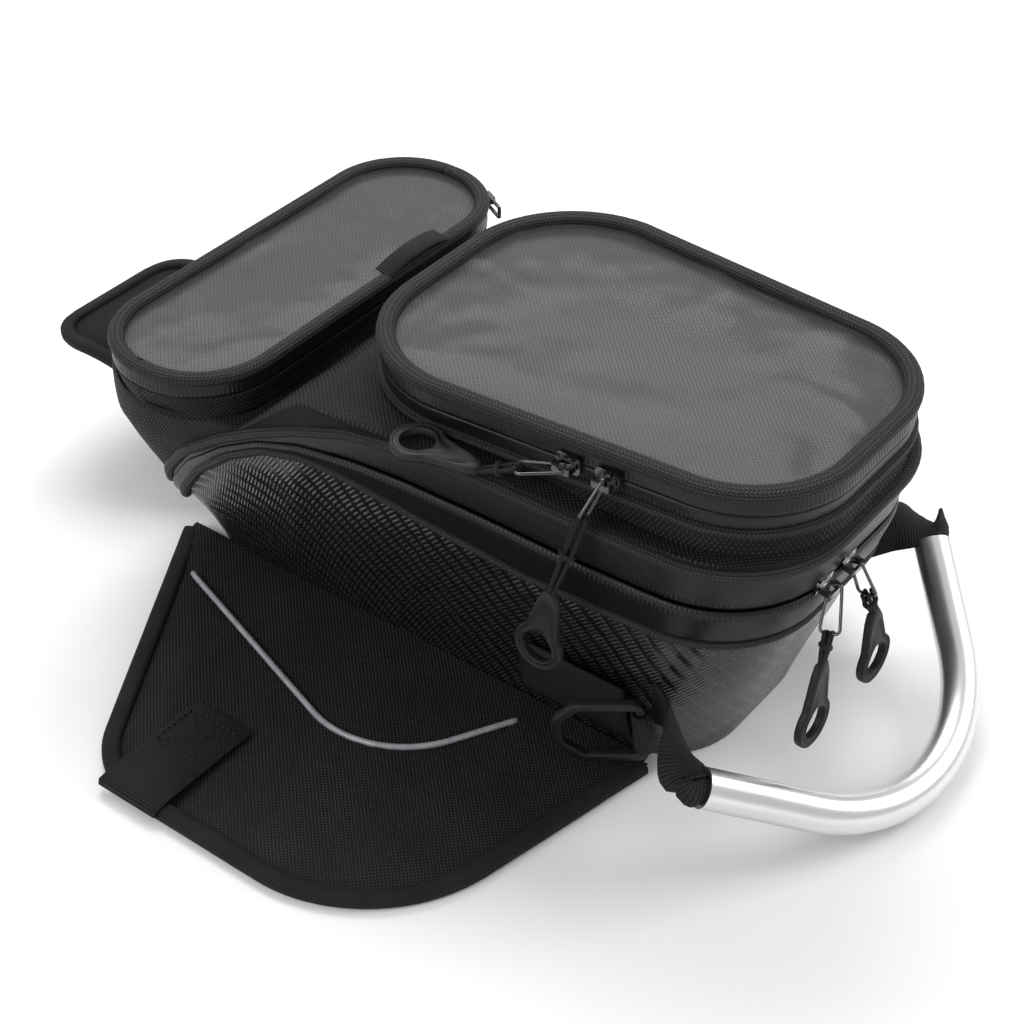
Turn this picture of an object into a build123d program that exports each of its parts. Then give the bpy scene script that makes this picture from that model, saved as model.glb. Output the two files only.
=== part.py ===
"""A magnetic motorcycle tank bag, built as separate sewn, moulded and metal pieces.

Millimetres.  +X is the bag's right, +Y points forward along the motorcycle, +Z is up.  The origin is at
the bottom centre of the whole object.  Lengthwise places are written as a distance measured forward from
the rear edge of the base, and at() turns such a distance into a Y coordinate.
"""

import os
from math import atan2, cos, degrees, radians, sin, sqrt, tan

from build123d import *

os.makedirs("parts", exist_ok=True)

# ---- driving dimensions ---------------------------------------------------------------------------
REAR_EDGE = -159.5  # Y of the base's rear edge: centres the whole object on the origin
SPAN = 150.0  # half length of the prisms that cut across the bag

WALL = 3.0  # fabric, foam and lining of the bag's walls
BASE_THICKNESS = 3.0
BOARD_THICKNESS = 5.0
SKIN_GAP = 0.4  # between pieces that part when a lid opens

# plan sections of the bag: height, rear half width, front half width, rear, front, rear and front radius
SECTIONS = [
    (0, 61, 62, 2, 302, 42, 38),
    (50, 67, 84, -16, 322, 46, 44),
    (95, 72, 103, -31, 330, 50, 48),
    (152, 80, 112, -45, 322, 54, 50),
]
# the upper face rises from the rear, then drops to the floor of the front pocket
TOP_LINE = [(-60, 139.6), (20, 140.5), (60, 144.5), (100, 149), (140, 150.5), (186, 150.5), (225, 119),
            (355, 119)]
PAST_FRONT = 355.0  # beyond the front of the bag, where the cutting regions end
PAST_REAR = -60.0
BELOW_BASE = -10.0

# the main zipper arches over each side: its lower edge, its middle and its upper edge
BAND_LOWER = [(-60, 91), (20, 92), (76, 96), (102, 102), (129, 108), (156, 115), (175, 119), (190, 119.5),
              (211, 115), (232, 103), (259, 80), (280, 54), (289, 41)]
BAND_MIDDLE = [(-60, 112), (20, 113.5), (57, 117), (96, 123), (135, 127.5), (160, 128), (190, 125),
               (212, 118), (235, 105), (261, 84), (281, 60), (290, 45)]
BAND_UPPER = [(-60, 133), (20, 134.5), (57, 138), (96, 143), (130, 144.5), (161, 141.5), (190, 131.5),
              (213, 120.5), (237, 107), (262, 88), (282, 65), (291, 49)]
BAND_END = 292.0
LID_HINGE_HEIGHT = 38.0
PIPING = 2.8  # how far a piping stands proud
PIPING_HEIGHT = 4.6

# map pocket: a rounded, slightly tapered box on the lid
MAP_REAR_HALF = 70.5
MAP_FRONT_HALF = 80.0
MAP_REAR = -41.0
MAP_FRONT = 184.0
MAP_REAR_RADIUS = 51.0
MAP_FRONT_RADIUS = 56.0
MAP_FOOT = 139.8  # the gusset is cut to the bag's upper face from here
MAP_LOW = 155.0  # lower edge of the zipper band
MAP_SPLIT = 163.0
MAP_RIM = 169.5
MAP_TOP = 175.0

# front pocket: a lateral box with round ends
FRONT_FLOOR = 119.0
FRONT_LENGTH = 225.0
FRONT_DEPTH = 82.0
FRONT_CENTRE = 269.5
FRONT_RADIUS = 39.0
FRONT_SPLIT = 131.5
FRONT_RIM = 138.3
FRONT_TOP = 143.0

POCKET_WALL = 2.4
WINDOW_THICKNESS = 0.8
LINER_THICKNESS = 1.0

# wings: D-shaped magnet pads that lie beside the base
WING_ROOT = 67.5
WING_TIP = 221.5
WING_ROOT_REAR = 17.0
WING_TIP_REAR = 50.0
WING_TIP_FRONT = 217.0
WING_ROOT_FRONT = 304.0
WING_REAR_RADIUS = 80.0
WING_FRONT_RADIUS = 50.0
WING_THICKNESS = 5.0
BINDING_WIDTH = 9.0
BINDING_THICKNESS = 6.2
CORD_RADIUS = 1.6
CORD_BEND = 52.0
MAGNET_RADIUS = 15.0
MAGNET_THICKNESS = 2.4
WEBBING = 25.0
WEBBING_THICKNESS = 1.8

# front flap: a padded tongue that curves up from the front of the base
FLAP_ROOT = 312.0
FLAP_ROOT_HEIGHT = 5.0
FLAP_LENGTH = 130.0
FLAP_START_ANGLE = 70.0
FLAP_END_ANGLE = -12.0
FLAP_THICKNESS = 6.0
FLAP_ROOT_HALF = 36.0
FLAP_TIP_HALF = 52.0
FLAP_CORNER = 26.0
FLAP_MAGNET_RADIUS = 12.0

# handle: a bent aluminium tube on two straps
TUBE_RADIUS = 9.0
TUBE_BORE = 7.2
TUBE_HALF_SPAN = 100.0
TUBE_LEG_ANGLE = 41.0  # of each leg, from the fore and aft direction
TUBE_BEND = 87.0
TUBE_END = -30.0
TUBE_END_HEIGHT = 47.3
TUBE_APEX_HEIGHT = 9.6
STRAP_ROOT = (58.0, -4.0, 30.0)

# D-rings on the rear corners of the sides
RING_LENGTH = 42.0
RING_HEIGHT = 40.0
RING_BAR = 4.5
RING_CORNER = 11.0
RING_SWING = 32.0  # degrees out from the wall at rest
SIDE_CLEARANCE = 3.2  # of the patches from the foot of the side wall
RING_CENTRE = 36.0
RING_CENTRE_HEIGHT = 34.0
SIDE_LEAN = degrees(atan2(9, 50))  # of the side walls near the base

# zipper sliders and their pulls
SLIDER_LENGTH = 12.0
SLIDER_WIDTH = 9.0
SLIDER_THICKNESS = 3.2
BRIDGE_TOP = 9.2
WIRE = 0.7
BAIL_HALF = 2.9
BRIDGE_HEIGHT = 5.8  # middle of the opening that the wire bail goes through
PULL_RING = 12.0
PULL_HOLE = 8.0
PULL_LENGTH = 45.0
PULL_THICKNESS = 4.0


def at(distance):
    """Y of a point that lies this far in front of the base's rear edge."""
    return REAR_EDGE + distance


def save(part, name):
    """Label a finished piece and write it."""
    part.label = name
    export_step(part, f"parts/{name}.step")


def tapered_plan(height, rear_half, front_half, rear, front, rear_radius, front_radius):
    """A four-sided outline with round corners, symmetric about the middle."""
    with BuildSketch(Plane.XY.offset(height)) as plan:
        with BuildLine():
            Polyline(
                (-rear_half, at(rear)),
                (rear_half, at(rear)),
                (front_half, at(front)),
                (-front_half, at(front)),
                close=True,
            )
        make_face()
        fillet(plan.vertices().group_by(Axis.Y)[0], rear_radius)
        fillet(plan.vertices().group_by(Axis.Y)[-1], front_radius)
    return plan.sketch


def side_region(points, front_height, drop=0.0, end=BAND_END):
    """The area under a curve drawn on the bag's side, down to below the base."""
    curve = [(at(distance), height - drop) for distance, height in points]
    with BuildSketch(Plane.YZ) as region:
        with BuildLine():
            edge = Spline(curve)
            Polyline(
                edge @ 1,
                (at(end), front_height),
                (at(PAST_FRONT), front_height),
                (at(PAST_FRONT), BELOW_BASE),
                (curve[0][0], BELOW_BASE),
                edge @ 0,
            )
        make_face()
    return region.sketch


def top_region(drop):
    """The area under the bag's upper face, lowered by drop."""
    with BuildSketch(Plane.YZ) as region:
        with BuildLine():
            Polyline(
                *[(at(distance), height - drop) for distance, height in TOP_LINE],
                (at(PAST_FRONT), BELOW_BASE),
                (at(PAST_REAR), BELOW_BASE),
                close=True,
            )
        make_face()
    return region.sketch


def hull(grow, drop):
    """The bag's body as a solid, its sides moved out by grow and its top lowered by drop."""
    plans = [
        tapered_plan(height, rear_half + grow, front_half + grow, rear - grow, front + grow, rear_r, front_r)
        for height, rear_half, front_half, rear, front, rear_r, front_r in SECTIONS
    ]
    with BuildPart() as body:
        loft(sections=plans, ruled=True)
        extrude(top_region(drop), amount=SPAN, both=True, mode=Mode.INTERSECT)
    return body.part


LOWER_REGION = side_region(BAND_LOWER, LID_HINGE_HEIGHT - SKIN_GAP / 2)
MIDDLE_UNDER = side_region(BAND_MIDDLE, LID_HINGE_HEIGHT - SKIN_GAP / 2, SKIN_GAP / 2)
MIDDLE_OVER = side_region(BAND_MIDDLE, LID_HINGE_HEIGHT + SKIN_GAP / 2, -SKIN_GAP / 2)
UPPER_REGION = side_region(BAND_UPPER, LID_HINGE_HEIGHT + SKIN_GAP / 2)

outer_hull = hull(0, 0)
inner_hull = hull(-WALL, WALL)

BASE_MIDDLE = 140.0
LONG = 500.0  # more than the length of the bag

with BuildPart() as bag_wall:
    add(outer_hull)
    add(inner_hull, mode=Mode.SUBTRACT)
    with Locations((0, at(BASE_MIDDLE), BASE_THICKNESS / 2)):
        Box(2 * SPAN, LONG, BASE_THICKNESS, mode=Mode.SUBTRACT)

# ---- the body ------------------------------------------------------------------------------------
with BuildPart() as base_panel:
    add(outer_hull)
    with Locations((0, at(BASE_MIDDLE), BASE_THICKNESS / 2)):
        Box(2 * SPAN, LONG, BASE_THICKNESS, mode=Mode.INTERSECT)
save(base_panel.part, "base_panel")

BOARD_INSET = 4.0
with BuildPart() as base_board:
    _, rear_half, front_half, rear, front, rear_radius, front_radius = SECTIONS[0]
    board_plan = tapered_plan(
        BASE_THICKNESS,
        rear_half - BOARD_INSET,
        front_half - BOARD_INSET,
        rear + BOARD_INSET,
        front - BOARD_INSET,
        rear_radius,
        front_radius,
    )
    extrude(board_plan, amount=BOARD_THICKNESS)
save(base_board.part, "base_board")

with BuildPart() as lower_shell:
    add(bag_wall.part)
    extrude(LOWER_REGION, amount=SPAN, both=True, mode=Mode.INTERSECT)
save(lower_shell.part, "lower_shell")

with BuildPart() as main_zip_tape_lower:
    add(bag_wall.part)
    extrude(MIDDLE_UNDER, amount=SPAN, both=True, mode=Mode.INTERSECT)
    extrude(LOWER_REGION, amount=SPAN, both=True, mode=Mode.SUBTRACT)
save(main_zip_tape_lower.part, "main_zip_tape_lower")

with BuildPart() as main_zip_tape_upper:
    add(bag_wall.part)
    extrude(UPPER_REGION, amount=SPAN, both=True, mode=Mode.INTERSECT)
    extrude(MIDDLE_OVER, amount=SPAN, both=True, mode=Mode.SUBTRACT)
save(main_zip_tape_upper.part, "main_zip_tape_upper")

with BuildPart() as lid_shell:
    add(bag_wall.part)
    extrude(UPPER_REGION, amount=SPAN, both=True, mode=Mode.SUBTRACT)
save(lid_shell.part, "lid_shell")


def band_piping(points, rise):
    """A piping that follows an edge of the main zipper band, standing proud of the wall."""
    upper = side_region(points, LID_HINGE_HEIGHT, -rise)
    lower = side_region(points, LID_HINGE_HEIGHT, PIPING_HEIGHT - rise)
    with BuildPart() as piping:
        add(hull(PIPING, 0))
        add(outer_hull, mode=Mode.SUBTRACT)
        extrude(upper, amount=SPAN, both=True, mode=Mode.INTERSECT)
        extrude(lower, amount=SPAN, both=True, mode=Mode.SUBTRACT)
        with Locations((0, at(BAND_END + SPAN), 0)):
            Box(2 * SPAN, 2 * SPAN, 2 * SPAN, mode=Mode.SUBTRACT)
    return piping.part


save(band_piping(BAND_LOWER, 0), "main_piping_lower")
save(band_piping(BAND_UPPER, PIPING_HEIGHT), "main_piping_upper")


# ---- the two pockets on the lid ------------------------------------------------------------------
def map_plan(height, grow):
    return tapered_plan(
        height,
        MAP_REAR_HALF + grow,
        MAP_FRONT_HALF + grow,
        MAP_REAR - grow,
        MAP_FRONT + grow,
        MAP_REAR_RADIUS + grow,
        MAP_FRONT_RADIUS + grow,
    )


def front_plan(height, grow):
    with BuildSketch(Plane.XY.offset(height)) as plan:
        with Locations((0, at(FRONT_CENTRE))):
            RectangleRounded(FRONT_LENGTH + 2 * grow, FRONT_DEPTH + 2 * grow, FRONT_RADIUS + grow)
    return plan.sketch


def ring(plan, bottom, top, grow, wall):
    """A wall that follows a pocket's plan: its outer face stands out by grow."""
    with BuildPart() as body:
        extrude(plan(bottom, grow), amount=top - bottom)
        extrude(plan(bottom, grow - wall), amount=top - bottom, mode=Mode.SUBTRACT)
    return body.part


def sheet(plan, bottom, thickness, grow):
    with BuildPart() as body:
        extrude(plan(bottom, grow), amount=thickness)
    return body.part


HALF_GAP = SKIN_GAP / 2
with BuildPart() as map_gusset:
    add(ring(map_plan, MAP_FOOT, MAP_LOW, 0, POCKET_WALL))
    add(outer_hull, mode=Mode.SUBTRACT)
save(map_gusset.part, "map_gusset")
save(ring(map_plan, MAP_LOW, MAP_SPLIT - HALF_GAP, 0, POCKET_WALL), "map_wall_lower")
save(ring(map_plan, MAP_LOW - PIPING_HEIGHT + 1, MAP_LOW + 1, PIPING, PIPING), "map_piping_lower")
save(ring(map_plan, MAP_SPLIT + HALF_GAP, MAP_RIM, 0, POCKET_WALL), "map_wall_upper")
save(ring(map_plan, MAP_RIM, MAP_TOP, PIPING, PIPING + POCKET_WALL), "map_piping_upper")
save(sheet(map_plan, MAP_RIM + 2, WINDOW_THICKNESS, -POCKET_WALL), "map_window")
save(sheet(map_plan, MAP_RIM - 3, LINER_THICKNESS, -POCKET_WALL), "map_liner")

save(sheet(front_plan, FRONT_FLOOR, 3.0, 0), "front_pocket_base")
save(ring(front_plan, FRONT_FLOOR + 3, FRONT_SPLIT - HALF_GAP, 0, POCKET_WALL), "front_wall_lower")
save(ring(front_plan, FRONT_SPLIT + HALF_GAP, FRONT_RIM, 0, POCKET_WALL), "front_wall_upper")
save(ring(front_plan, FRONT_RIM, FRONT_TOP, PIPING, PIPING + POCKET_WALL), "front_piping")
save(sheet(front_plan, FRONT_RIM + 2, WINDOW_THICKNESS, -POCKET_WALL), "front_window")
save(sheet(front_plan, FRONT_RIM - 3, LINER_THICKNESS, -POCKET_WALL), "front_liner")

with BuildPart() as front_pocket_tab:
    with BuildSketch(Plane.XY.offset(FRONT_TOP)):
        with Locations((34, at(FRONT_CENTRE - FRONT_DEPTH / 2 + 3))):
            RectangleRounded(44, 10, 2)
    extrude(amount=WEBBING_THICKNESS)
save(front_pocket_tab.part, "front_pocket_tab")


# ---- wings ---------------------------------------------------------------------------------------
def wing_plan(side, height, inset):
    """The D-shaped outline of a wing; side is -1 on the left and 1 on the right."""
    root = side * WING_ROOT
    tip = side * (WING_TIP - inset)
    with BuildSketch(Plane.XY.offset(height)) as plan:
        with BuildLine():
            Polyline(
                (root, at(WING_ROOT_REAR + inset)),
                (tip, at(WING_TIP_REAR + inset)),
                (tip, at(WING_TIP_FRONT - inset)),
                (root, at(WING_ROOT_FRONT - 1.15 * inset)),
                close=True,
            )
        make_face()
        corners = plan.vertices().sort_by(Axis.X, reverse=side > 0)[0:2].sort_by(Axis.Y)
        fillet(corners[0:1], WING_REAR_RADIUS - inset)
        front_corner = plan.vertices().sort_by_distance((tip, at(WING_TIP_FRONT - inset), height))[0]
        fillet(front_corner, WING_FRONT_RADIUS - inset)
    return plan.sketch


def wing_pieces(side, name):
    magnets_at = [(side * 165, at(80)), (side * 180, at(140)), (side * 125, at(222))]
    magnet_floor = (WING_THICKNESS - MAGNET_THICKNESS) / 2

    with BuildPart() as pad:
        extrude(wing_plan(side, 0, BINDING_WIDTH), amount=WING_THICKNESS)
        with BuildSketch(Plane.XY.offset(magnet_floor)):
            with Locations(*magnets_at):
                Circle(MAGNET_RADIUS)
        extrude(amount=MAGNET_THICKNESS, mode=Mode.SUBTRACT)
    save(pad.part, f"wing_pad_{name}")

    with BuildPart() as magnets:
        with BuildSketch(Plane.XY.offset(magnet_floor)):
            with Locations(*magnets_at):
                Circle(MAGNET_RADIUS)
        extrude(amount=MAGNET_THICKNESS)
    save(magnets.part, f"wing_magnets_{name}")

    with BuildPart() as binding:
        extrude(wing_plan(side, 0, 0), amount=BINDING_THICKNESS)
        extrude(wing_plan(side, 0, BINDING_WIDTH), amount=BINDING_THICKNESS, mode=Mode.SUBTRACT)
    save(binding.part, f"wing_binding_{name}")

    reflective_height = WING_THICKNESS + CORD_RADIUS
    with BuildPart() as reflective:
        with BuildLine(Plane.XY.offset(reflective_height)) as route:
            FilletPolyline(
                (side * 94, at(273)),
                (side * 146, at(119)),
                (side * 80, at(82)),
                radius=CORD_BEND,
            )
        with BuildSketch(Plane(route.line @ 0, z_dir=route.line % 0)):
            Circle(CORD_RADIUS)
        sweep()
    save(reflective.part, f"wing_reflective_{name}")

    with BuildPart() as tab:
        with BuildSketch(Plane.XY.offset(BINDING_THICKNESS)):
            with Locations((side * (WING_TIP - 33.5), at(189))):
                Rectangle(67, 35)
        extrude(amount=WEBBING_THICKNESS)
    save(tab.part, f"wing_tab_{name}")


wing_pieces(-1, "left")
wing_pieces(1, "right")

# ---- front flap ----------------------------------------------------------------------------------
FLAP_TURN = radians(FLAP_START_ANGLE - FLAP_END_ANGLE)
FLAP_RADIUS = FLAP_LENGTH / FLAP_TURN


def flap_point(distance, rise):
    """Point of the flap's curved section, distance along its lower face and rise above it."""
    angle = radians(FLAP_START_ANGLE) - distance / FLAP_RADIUS
    start = radians(FLAP_START_ANGLE)
    forward = FLAP_ROOT + FLAP_RADIUS * (sin(start) - sin(angle))
    height = FLAP_ROOT_HEIGHT + FLAP_RADIUS * (cos(angle) - cos(start))
    return (at(forward - rise * sin(angle)), height + rise * cos(angle))


def flap_slab(bottom, top):
    """The curved slab between two faces of the flap, as wide as the prisms."""
    with BuildPart() as slab:
        with BuildSketch(Plane.YZ):
            with BuildLine():
                stops = (0, FLAP_LENGTH / 2, FLAP_LENGTH)
                low = ThreePointArc(*[flap_point(stop, bottom) for stop in stops])
                high = ThreePointArc(*[flap_point(stop, top) for stop in stops])
                Line(low @ 0, high @ 0)
                Line(low @ 1, high @ 1)
            make_face()
        extrude(amount=SPAN, both=True)
    return slab.part


def flap_plan(inset):
    """Plan prism of the flap: a tongue with a rounded tip."""
    tip = flap_point(FLAP_LENGTH, 0)[0] - inset
    back = at(SECTIONS[0][4])
    with BuildPart() as prism:
        with BuildSketch(Plane.XY) as plan:
            with BuildLine():
                Polyline(
                    (-FLAP_ROOT_HALF + inset, back),
                    (FLAP_ROOT_HALF - inset, back),
                    (FLAP_TIP_HALF - inset, tip),
                    (-FLAP_TIP_HALF + inset, tip),
                    close=True,
                )
            make_face()
            fillet(plan.vertices().group_by(Axis.Y)[-1], FLAP_CORNER - inset)
        extrude(amount=120)
    return prism.part


def flap_magnets(extra):
    """Two discs set into the flap, near its tip."""
    distance = FLAP_LENGTH * 0.72
    slope = FLAP_START_ANGLE - degrees(distance / FLAP_RADIUS)
    y, z = flap_point(distance, 2.0)
    seat = Plane(origin=(0, y, z), x_dir=(1, 0, 0), z_dir=(0, -sin(radians(slope)), cos(radians(slope))))
    with BuildPart() as discs:
        with BuildSketch(seat):
            with Locations((-24, 0), (24, 0)):
                Circle(FLAP_MAGNET_RADIUS + extra)
        extrude(amount=2.0)
    return discs.part


FLAP_BINDING = 8.0
with BuildPart() as flap_pad:
    add(flap_slab(0, FLAP_THICKNESS))
    add(flap_plan(FLAP_BINDING), mode=Mode.INTERSECT)
    add(flap_magnets(0), mode=Mode.SUBTRACT)
save(flap_pad.part, "flap_pad")

with BuildPart() as flap_binding:
    add(flap_slab(-0.5, FLAP_THICKNESS + 0.5))
    add(flap_plan(0), mode=Mode.INTERSECT)
    add(flap_plan(FLAP_BINDING), mode=Mode.SUBTRACT)
save(flap_binding.part, "flap_binding")
save(flap_magnets(0), "flap_magnets")

# ---- handle --------------------------------------------------------------------------------------
LEG = radians(TUBE_LEG_ANGLE)
TUBE_VERTEX = TUBE_HALF_SPAN / tan(LEG)
TUBE_DEPTH = TUBE_VERTEX - TUBE_BEND / sin(LEG) + TUBE_BEND
TUBE_DROP = TUBE_END_HEIGHT - TUBE_APEX_HEIGHT
TUBE_RUN = sqrt(TUBE_DEPTH**2 - TUBE_DROP**2)
# the tube's own plane: local x is the bag's right, local y runs back and down
TUBE_PLANE = Plane(
    origin=(0, at(TUBE_END), TUBE_END_HEIGHT),
    x_dir=(1, 0, 0),
    z_dir=(0, TUBE_DROP / TUBE_DEPTH, -TUBE_RUN / TUBE_DEPTH),
)

with BuildPart() as handle_tube:
    with BuildLine(TUBE_PLANE) as tube_route:
        FilletPolyline((-TUBE_HALF_SPAN, 0), (0, TUBE_VERTEX), (TUBE_HALF_SPAN, 0), radius=TUBE_BEND)
    with BuildSketch(Plane(tube_route.line @ 0, z_dir=tube_route.line % 0)):
        Circle(TUBE_RADIUS)
        Circle(TUBE_BORE, mode=Mode.SUBTRACT)
    sweep()
save(handle_tube.part, "handle_tube")


def handle_strap(side, name):
    """A short strap from the rear corner, ending folded inside the tube's mouth."""
    mouth = tube_route.line @ (0 if side < 0 else 1)
    inward = tube_route.line % (0 if side < 0 else 1)
    inward = inward if side < 0 else inward * -1
    root_x, root_y, root_z = STRAP_ROOT
    start = Vector(side * root_x, at(root_y), root_z)
    end = mouth - inward * 9.0
    run = (end - start).normalized()
    with BuildPart() as strap:
        with BuildSketch(Plane(start, x_dir=(0, -run.Z, run.Y), z_dir=run)):
            Rectangle(WEBBING - 5, WEBBING_THICKNESS)
        extrude(amount=(end - start).length)
        with BuildSketch(Plane(mouth - inward * 11, z_dir=inward)):
            Circle(TUBE_BORE - 0.4)
        extrude(amount=26)
    save(strap.part, f"handle_strap_{name}")


handle_strap(-1, "left")
handle_strap(1, "right")


# ---- D-rings -------------------------------------------------------------------------------------
def side_plane(side, distance, height, lift):
    """A plane on a leaning side wall: local x points forward, local z points away from the bag."""
    lean = radians(SIDE_LEAN)
    foot = SECTIONS[0][1] + SIDE_CLEARANCE
    out = Vector(side * cos(lean), 0, -sin(lean))
    on_wall = Vector(side * (foot + height * tan(lean)), at(distance), height)
    return Plane(on_wall + out * lift, x_dir=(0, 1, 0), z_dir=out)


PATCH_THICKNESS = 1.4
RING_LIFT = 2.2

with BuildPart() as ring_patches:
    for side in (-1, 1):
        with BuildSketch(side_plane(side, RING_CENTRE + 26, RING_CENTRE_HEIGHT, 0)):
            Rectangle(50, WEBBING + 10)
        extrude(amount=PATCH_THICKNESS)
save(ring_patches.part, "ring_patches")


def d_ring(side, name):
    """A ring that stands swung out from the wall about its rear bar."""
    half = RING_LENGTH / 2
    bar_distance = RING_CENTRE - half + RING_BAR / 2
    bar = side_plane(side, bar_distance, RING_CENTRE_HEIGHT, RING_LIFT + RING_BAR / 2)
    swing = radians(RING_SWING)
    ahead = bar.x_dir * cos(swing) + bar.z_dir * sin(swing)
    face = bar.z_dir * cos(swing) - bar.x_dir * sin(swing)
    middle = bar.origin + ahead * (half - RING_BAR / 2) - face * (RING_BAR / 2)
    place = Plane(middle, x_dir=ahead, z_dir=face)
    tall = RING_HEIGHT / 2
    cut = RING_CORNER
    with BuildPart() as frame:
        with BuildSketch(place):
            with BuildLine():
                Polyline(
                    (-half, -tall),
                    (half - cut, -tall),
                    (half, -tall + cut),
                    (half, tall - cut),
                    (half - cut, tall),
                    (-half, tall),
                    close=True,
                )
            make_face()
            offset(amount=-RING_BAR, kind=Kind.INTERSECTION, mode=Mode.SUBTRACT)
        extrude(amount=RING_BAR)
    save(frame.part, f"d_ring_{name}")


d_ring(-1, "left")
d_ring(1, "right")

RING_BAR_CENTRE = RING_CENTRE - RING_LENGTH / 2 + RING_BAR / 2
LOOP_HOLE = 3.6
with BuildPart() as ring_loops:
    for side in (-1, 1):
        bar = side_plane(side, RING_BAR_CENTRE, RING_CENTRE_HEIGHT, RING_LIFT + RING_BAR / 2)
        axle = Plane(bar.origin, x_dir=bar.x_dir, z_dir=bar.y_dir)
        with BuildSketch(axle.offset(-WEBBING / 2)):
            Circle(LOOP_HOLE + WEBBING_THICKNESS)
            Circle(LOOP_HOLE, mode=Mode.SUBTRACT)
        extrude(amount=WEBBING)
save(ring_loops.part, "ring_loops")


# ---- zipper sliders and pulls --------------------------------------------------------------------
def zip_slider(place, name):
    """A slider on its zipper: local x runs along the zipper, local z away from the fabric."""
    with BuildPart() as slider:
        with BuildSketch(place.offset(SKIN_GAP)):
            RectangleRounded(SLIDER_LENGTH, SLIDER_WIDTH, 2.2)
        extrude(amount=SLIDER_THICKNESS - SKIN_GAP)
        across = Plane(place.origin, x_dir=place.x_dir, z_dir=place.y_dir * -1)
        with BuildSketch(across.offset(-1.5)):
            with Locations((0, (SLIDER_THICKNESS + BRIDGE_TOP) / 2)):
                RectangleRounded(9.4, BRIDGE_TOP - SLIDER_THICKNESS + 0.2, 1.2)
            with Locations((0, BRIDGE_HEIGHT)):
                RectangleRounded(5.8, 4.4, 1.0, mode=Mode.SUBTRACT)
        extrude(amount=3.0)
    save(slider.part, f"{name}_slider")


def wire_bail(place, length, name):
    """A wire bail: local x runs along it from the middle of its first bar, local y lies across it."""
    with BuildPart() as bail:
        with BuildSketch(place.offset(-WIRE)):
            with Locations((length / 2, 0)):
                RectangleRounded(length + 2 * WIRE, 2 * (BAIL_HALF + WIRE), 2 * WIRE)
                RectangleRounded(length - 2 * WIRE, 2 * (BAIL_HALF - WIRE), WIRE, mode=Mode.SUBTRACT)
        extrude(amount=2 * WIRE)
    save(bail.part, f"{name}_bail")


def pull_cord(start, end, name):
    """The cord loops between a bail and its rubber pull, as one plain bar."""
    run = end - start
    with BuildPart() as cord:
        with BuildSketch(Plane(start, z_dir=run)):
            Circle(2.2)
        extrude(amount=run.length)
    save(cord.part, f"{name}_cord")


def rubber_pull(place, name):
    """A rubber finger pull: local x runs from its cord end to its ring, local z through its thickness."""
    ring_at = PULL_LENGTH - PULL_RING
    with BuildPart() as pull:
        with BuildSketch(place.offset(-PULL_THICKNESS / 2)):
            with Locations((ring_at, 0)):
                Circle(PULL_RING)
            with BuildLine():
                Polyline((0, -4.5), (ring_at, -9.5), (ring_at, 9.5), (0, 4.5), close=True)
            make_face()
            with Locations((ring_at, 0)):
                Circle(PULL_HOLE, mode=Mode.SUBTRACT)
        extrude(amount=PULL_THICKNESS)
    save(pull.part, f"{name}_pull")


def puller(bridge, bail_end, cord_end, pull_end, facing, name, around_roof):
    """Bail, cord and pull, each laid along its own stretch of the way.

    A bail that hangs across its zipper is a link around the bridge's roof; one that lies along its zipper
    has its first bar through the bridge.
    """
    bail_run = (bail_end - bridge).normalized()
    bail_facing = facing.cross(bail_run).normalized()
    start = bridge
    if around_roof:
        across = (facing - bail_run * facing.dot(bail_run)).normalized()
        start = bridge + across * BAIL_HALF - bail_run * LINK_RISE
    wire_bail(Plane(start, x_dir=bail_run, z_dir=bail_facing), (bail_end - bridge).length, name)
    cord_start = start + bail_run * ((bail_end - bridge).length + 2 * WIRE)
    pull_cord(cord_start, cord_end, name)
    pull_run = (pull_end - cord_end).normalized()
    pull_facing = (facing - pull_run * facing.dot(pull_run)).normalized()
    rubber_pull(Plane(cord_end + pull_run * 0.3, x_dir=pull_run, z_dir=pull_facing), name)


LINK_RISE = 2.2
# the two sliders of the main zipper meet at the rear, where the wall leans back
MAIN_HEIGHT = 114.0
LEAN_RUN = SECTIONS[2][3] - SECTIONS[3][3]
LEAN_RISE = SECTIONS[3][0] - SECTIONS[2][0]
MAIN_REAR = SECTIONS[2][3] - LEAN_RUN * (MAIN_HEIGHT - SECTIONS[2][0]) / LEAN_RISE
WALL_LEAN = atan2(LEAN_RUN, LEAN_RISE)
rear_out = Vector(0, -cos(WALL_LEAN), -sin(WALL_LEAN))
MAIN_PULLERS = [
    # name, x, then how far the bail, the cord and the pull end from the slider's bridge
    ("main_left", -27, (-10, -5, -16), (-16, -7, -25), (-20, -7, -71)),
    ("main_right", -8, (4, -5, -17), (8, -7, -27), (17, -7, -73)),
]
for name, x, bail_step, cord_step, pull_step in MAIN_PULLERS:
    foot = Vector(x, at(MAIN_REAR), MAIN_HEIGHT)
    zip_slider(Plane(foot, x_dir=(1, 0, 0), z_dir=rear_out), name)
    bridge = foot + rear_out * BRIDGE_HEIGHT
    steps = [bridge + Vector(*step) for step in (bail_step, cord_step, pull_step)]
    puller(bridge, *steps, Vector(0, -1, 0), name, around_roof=True)

# the two sliders of the map pocket's zipper meet on its left side
def map_side(distance):
    """Half width of the map pocket at a distance."""
    share = (distance - MAP_REAR) / (MAP_FRONT - MAP_REAR)
    return MAP_REAR_HALF + (MAP_FRONT_HALF - MAP_REAR_HALF) * share


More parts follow.
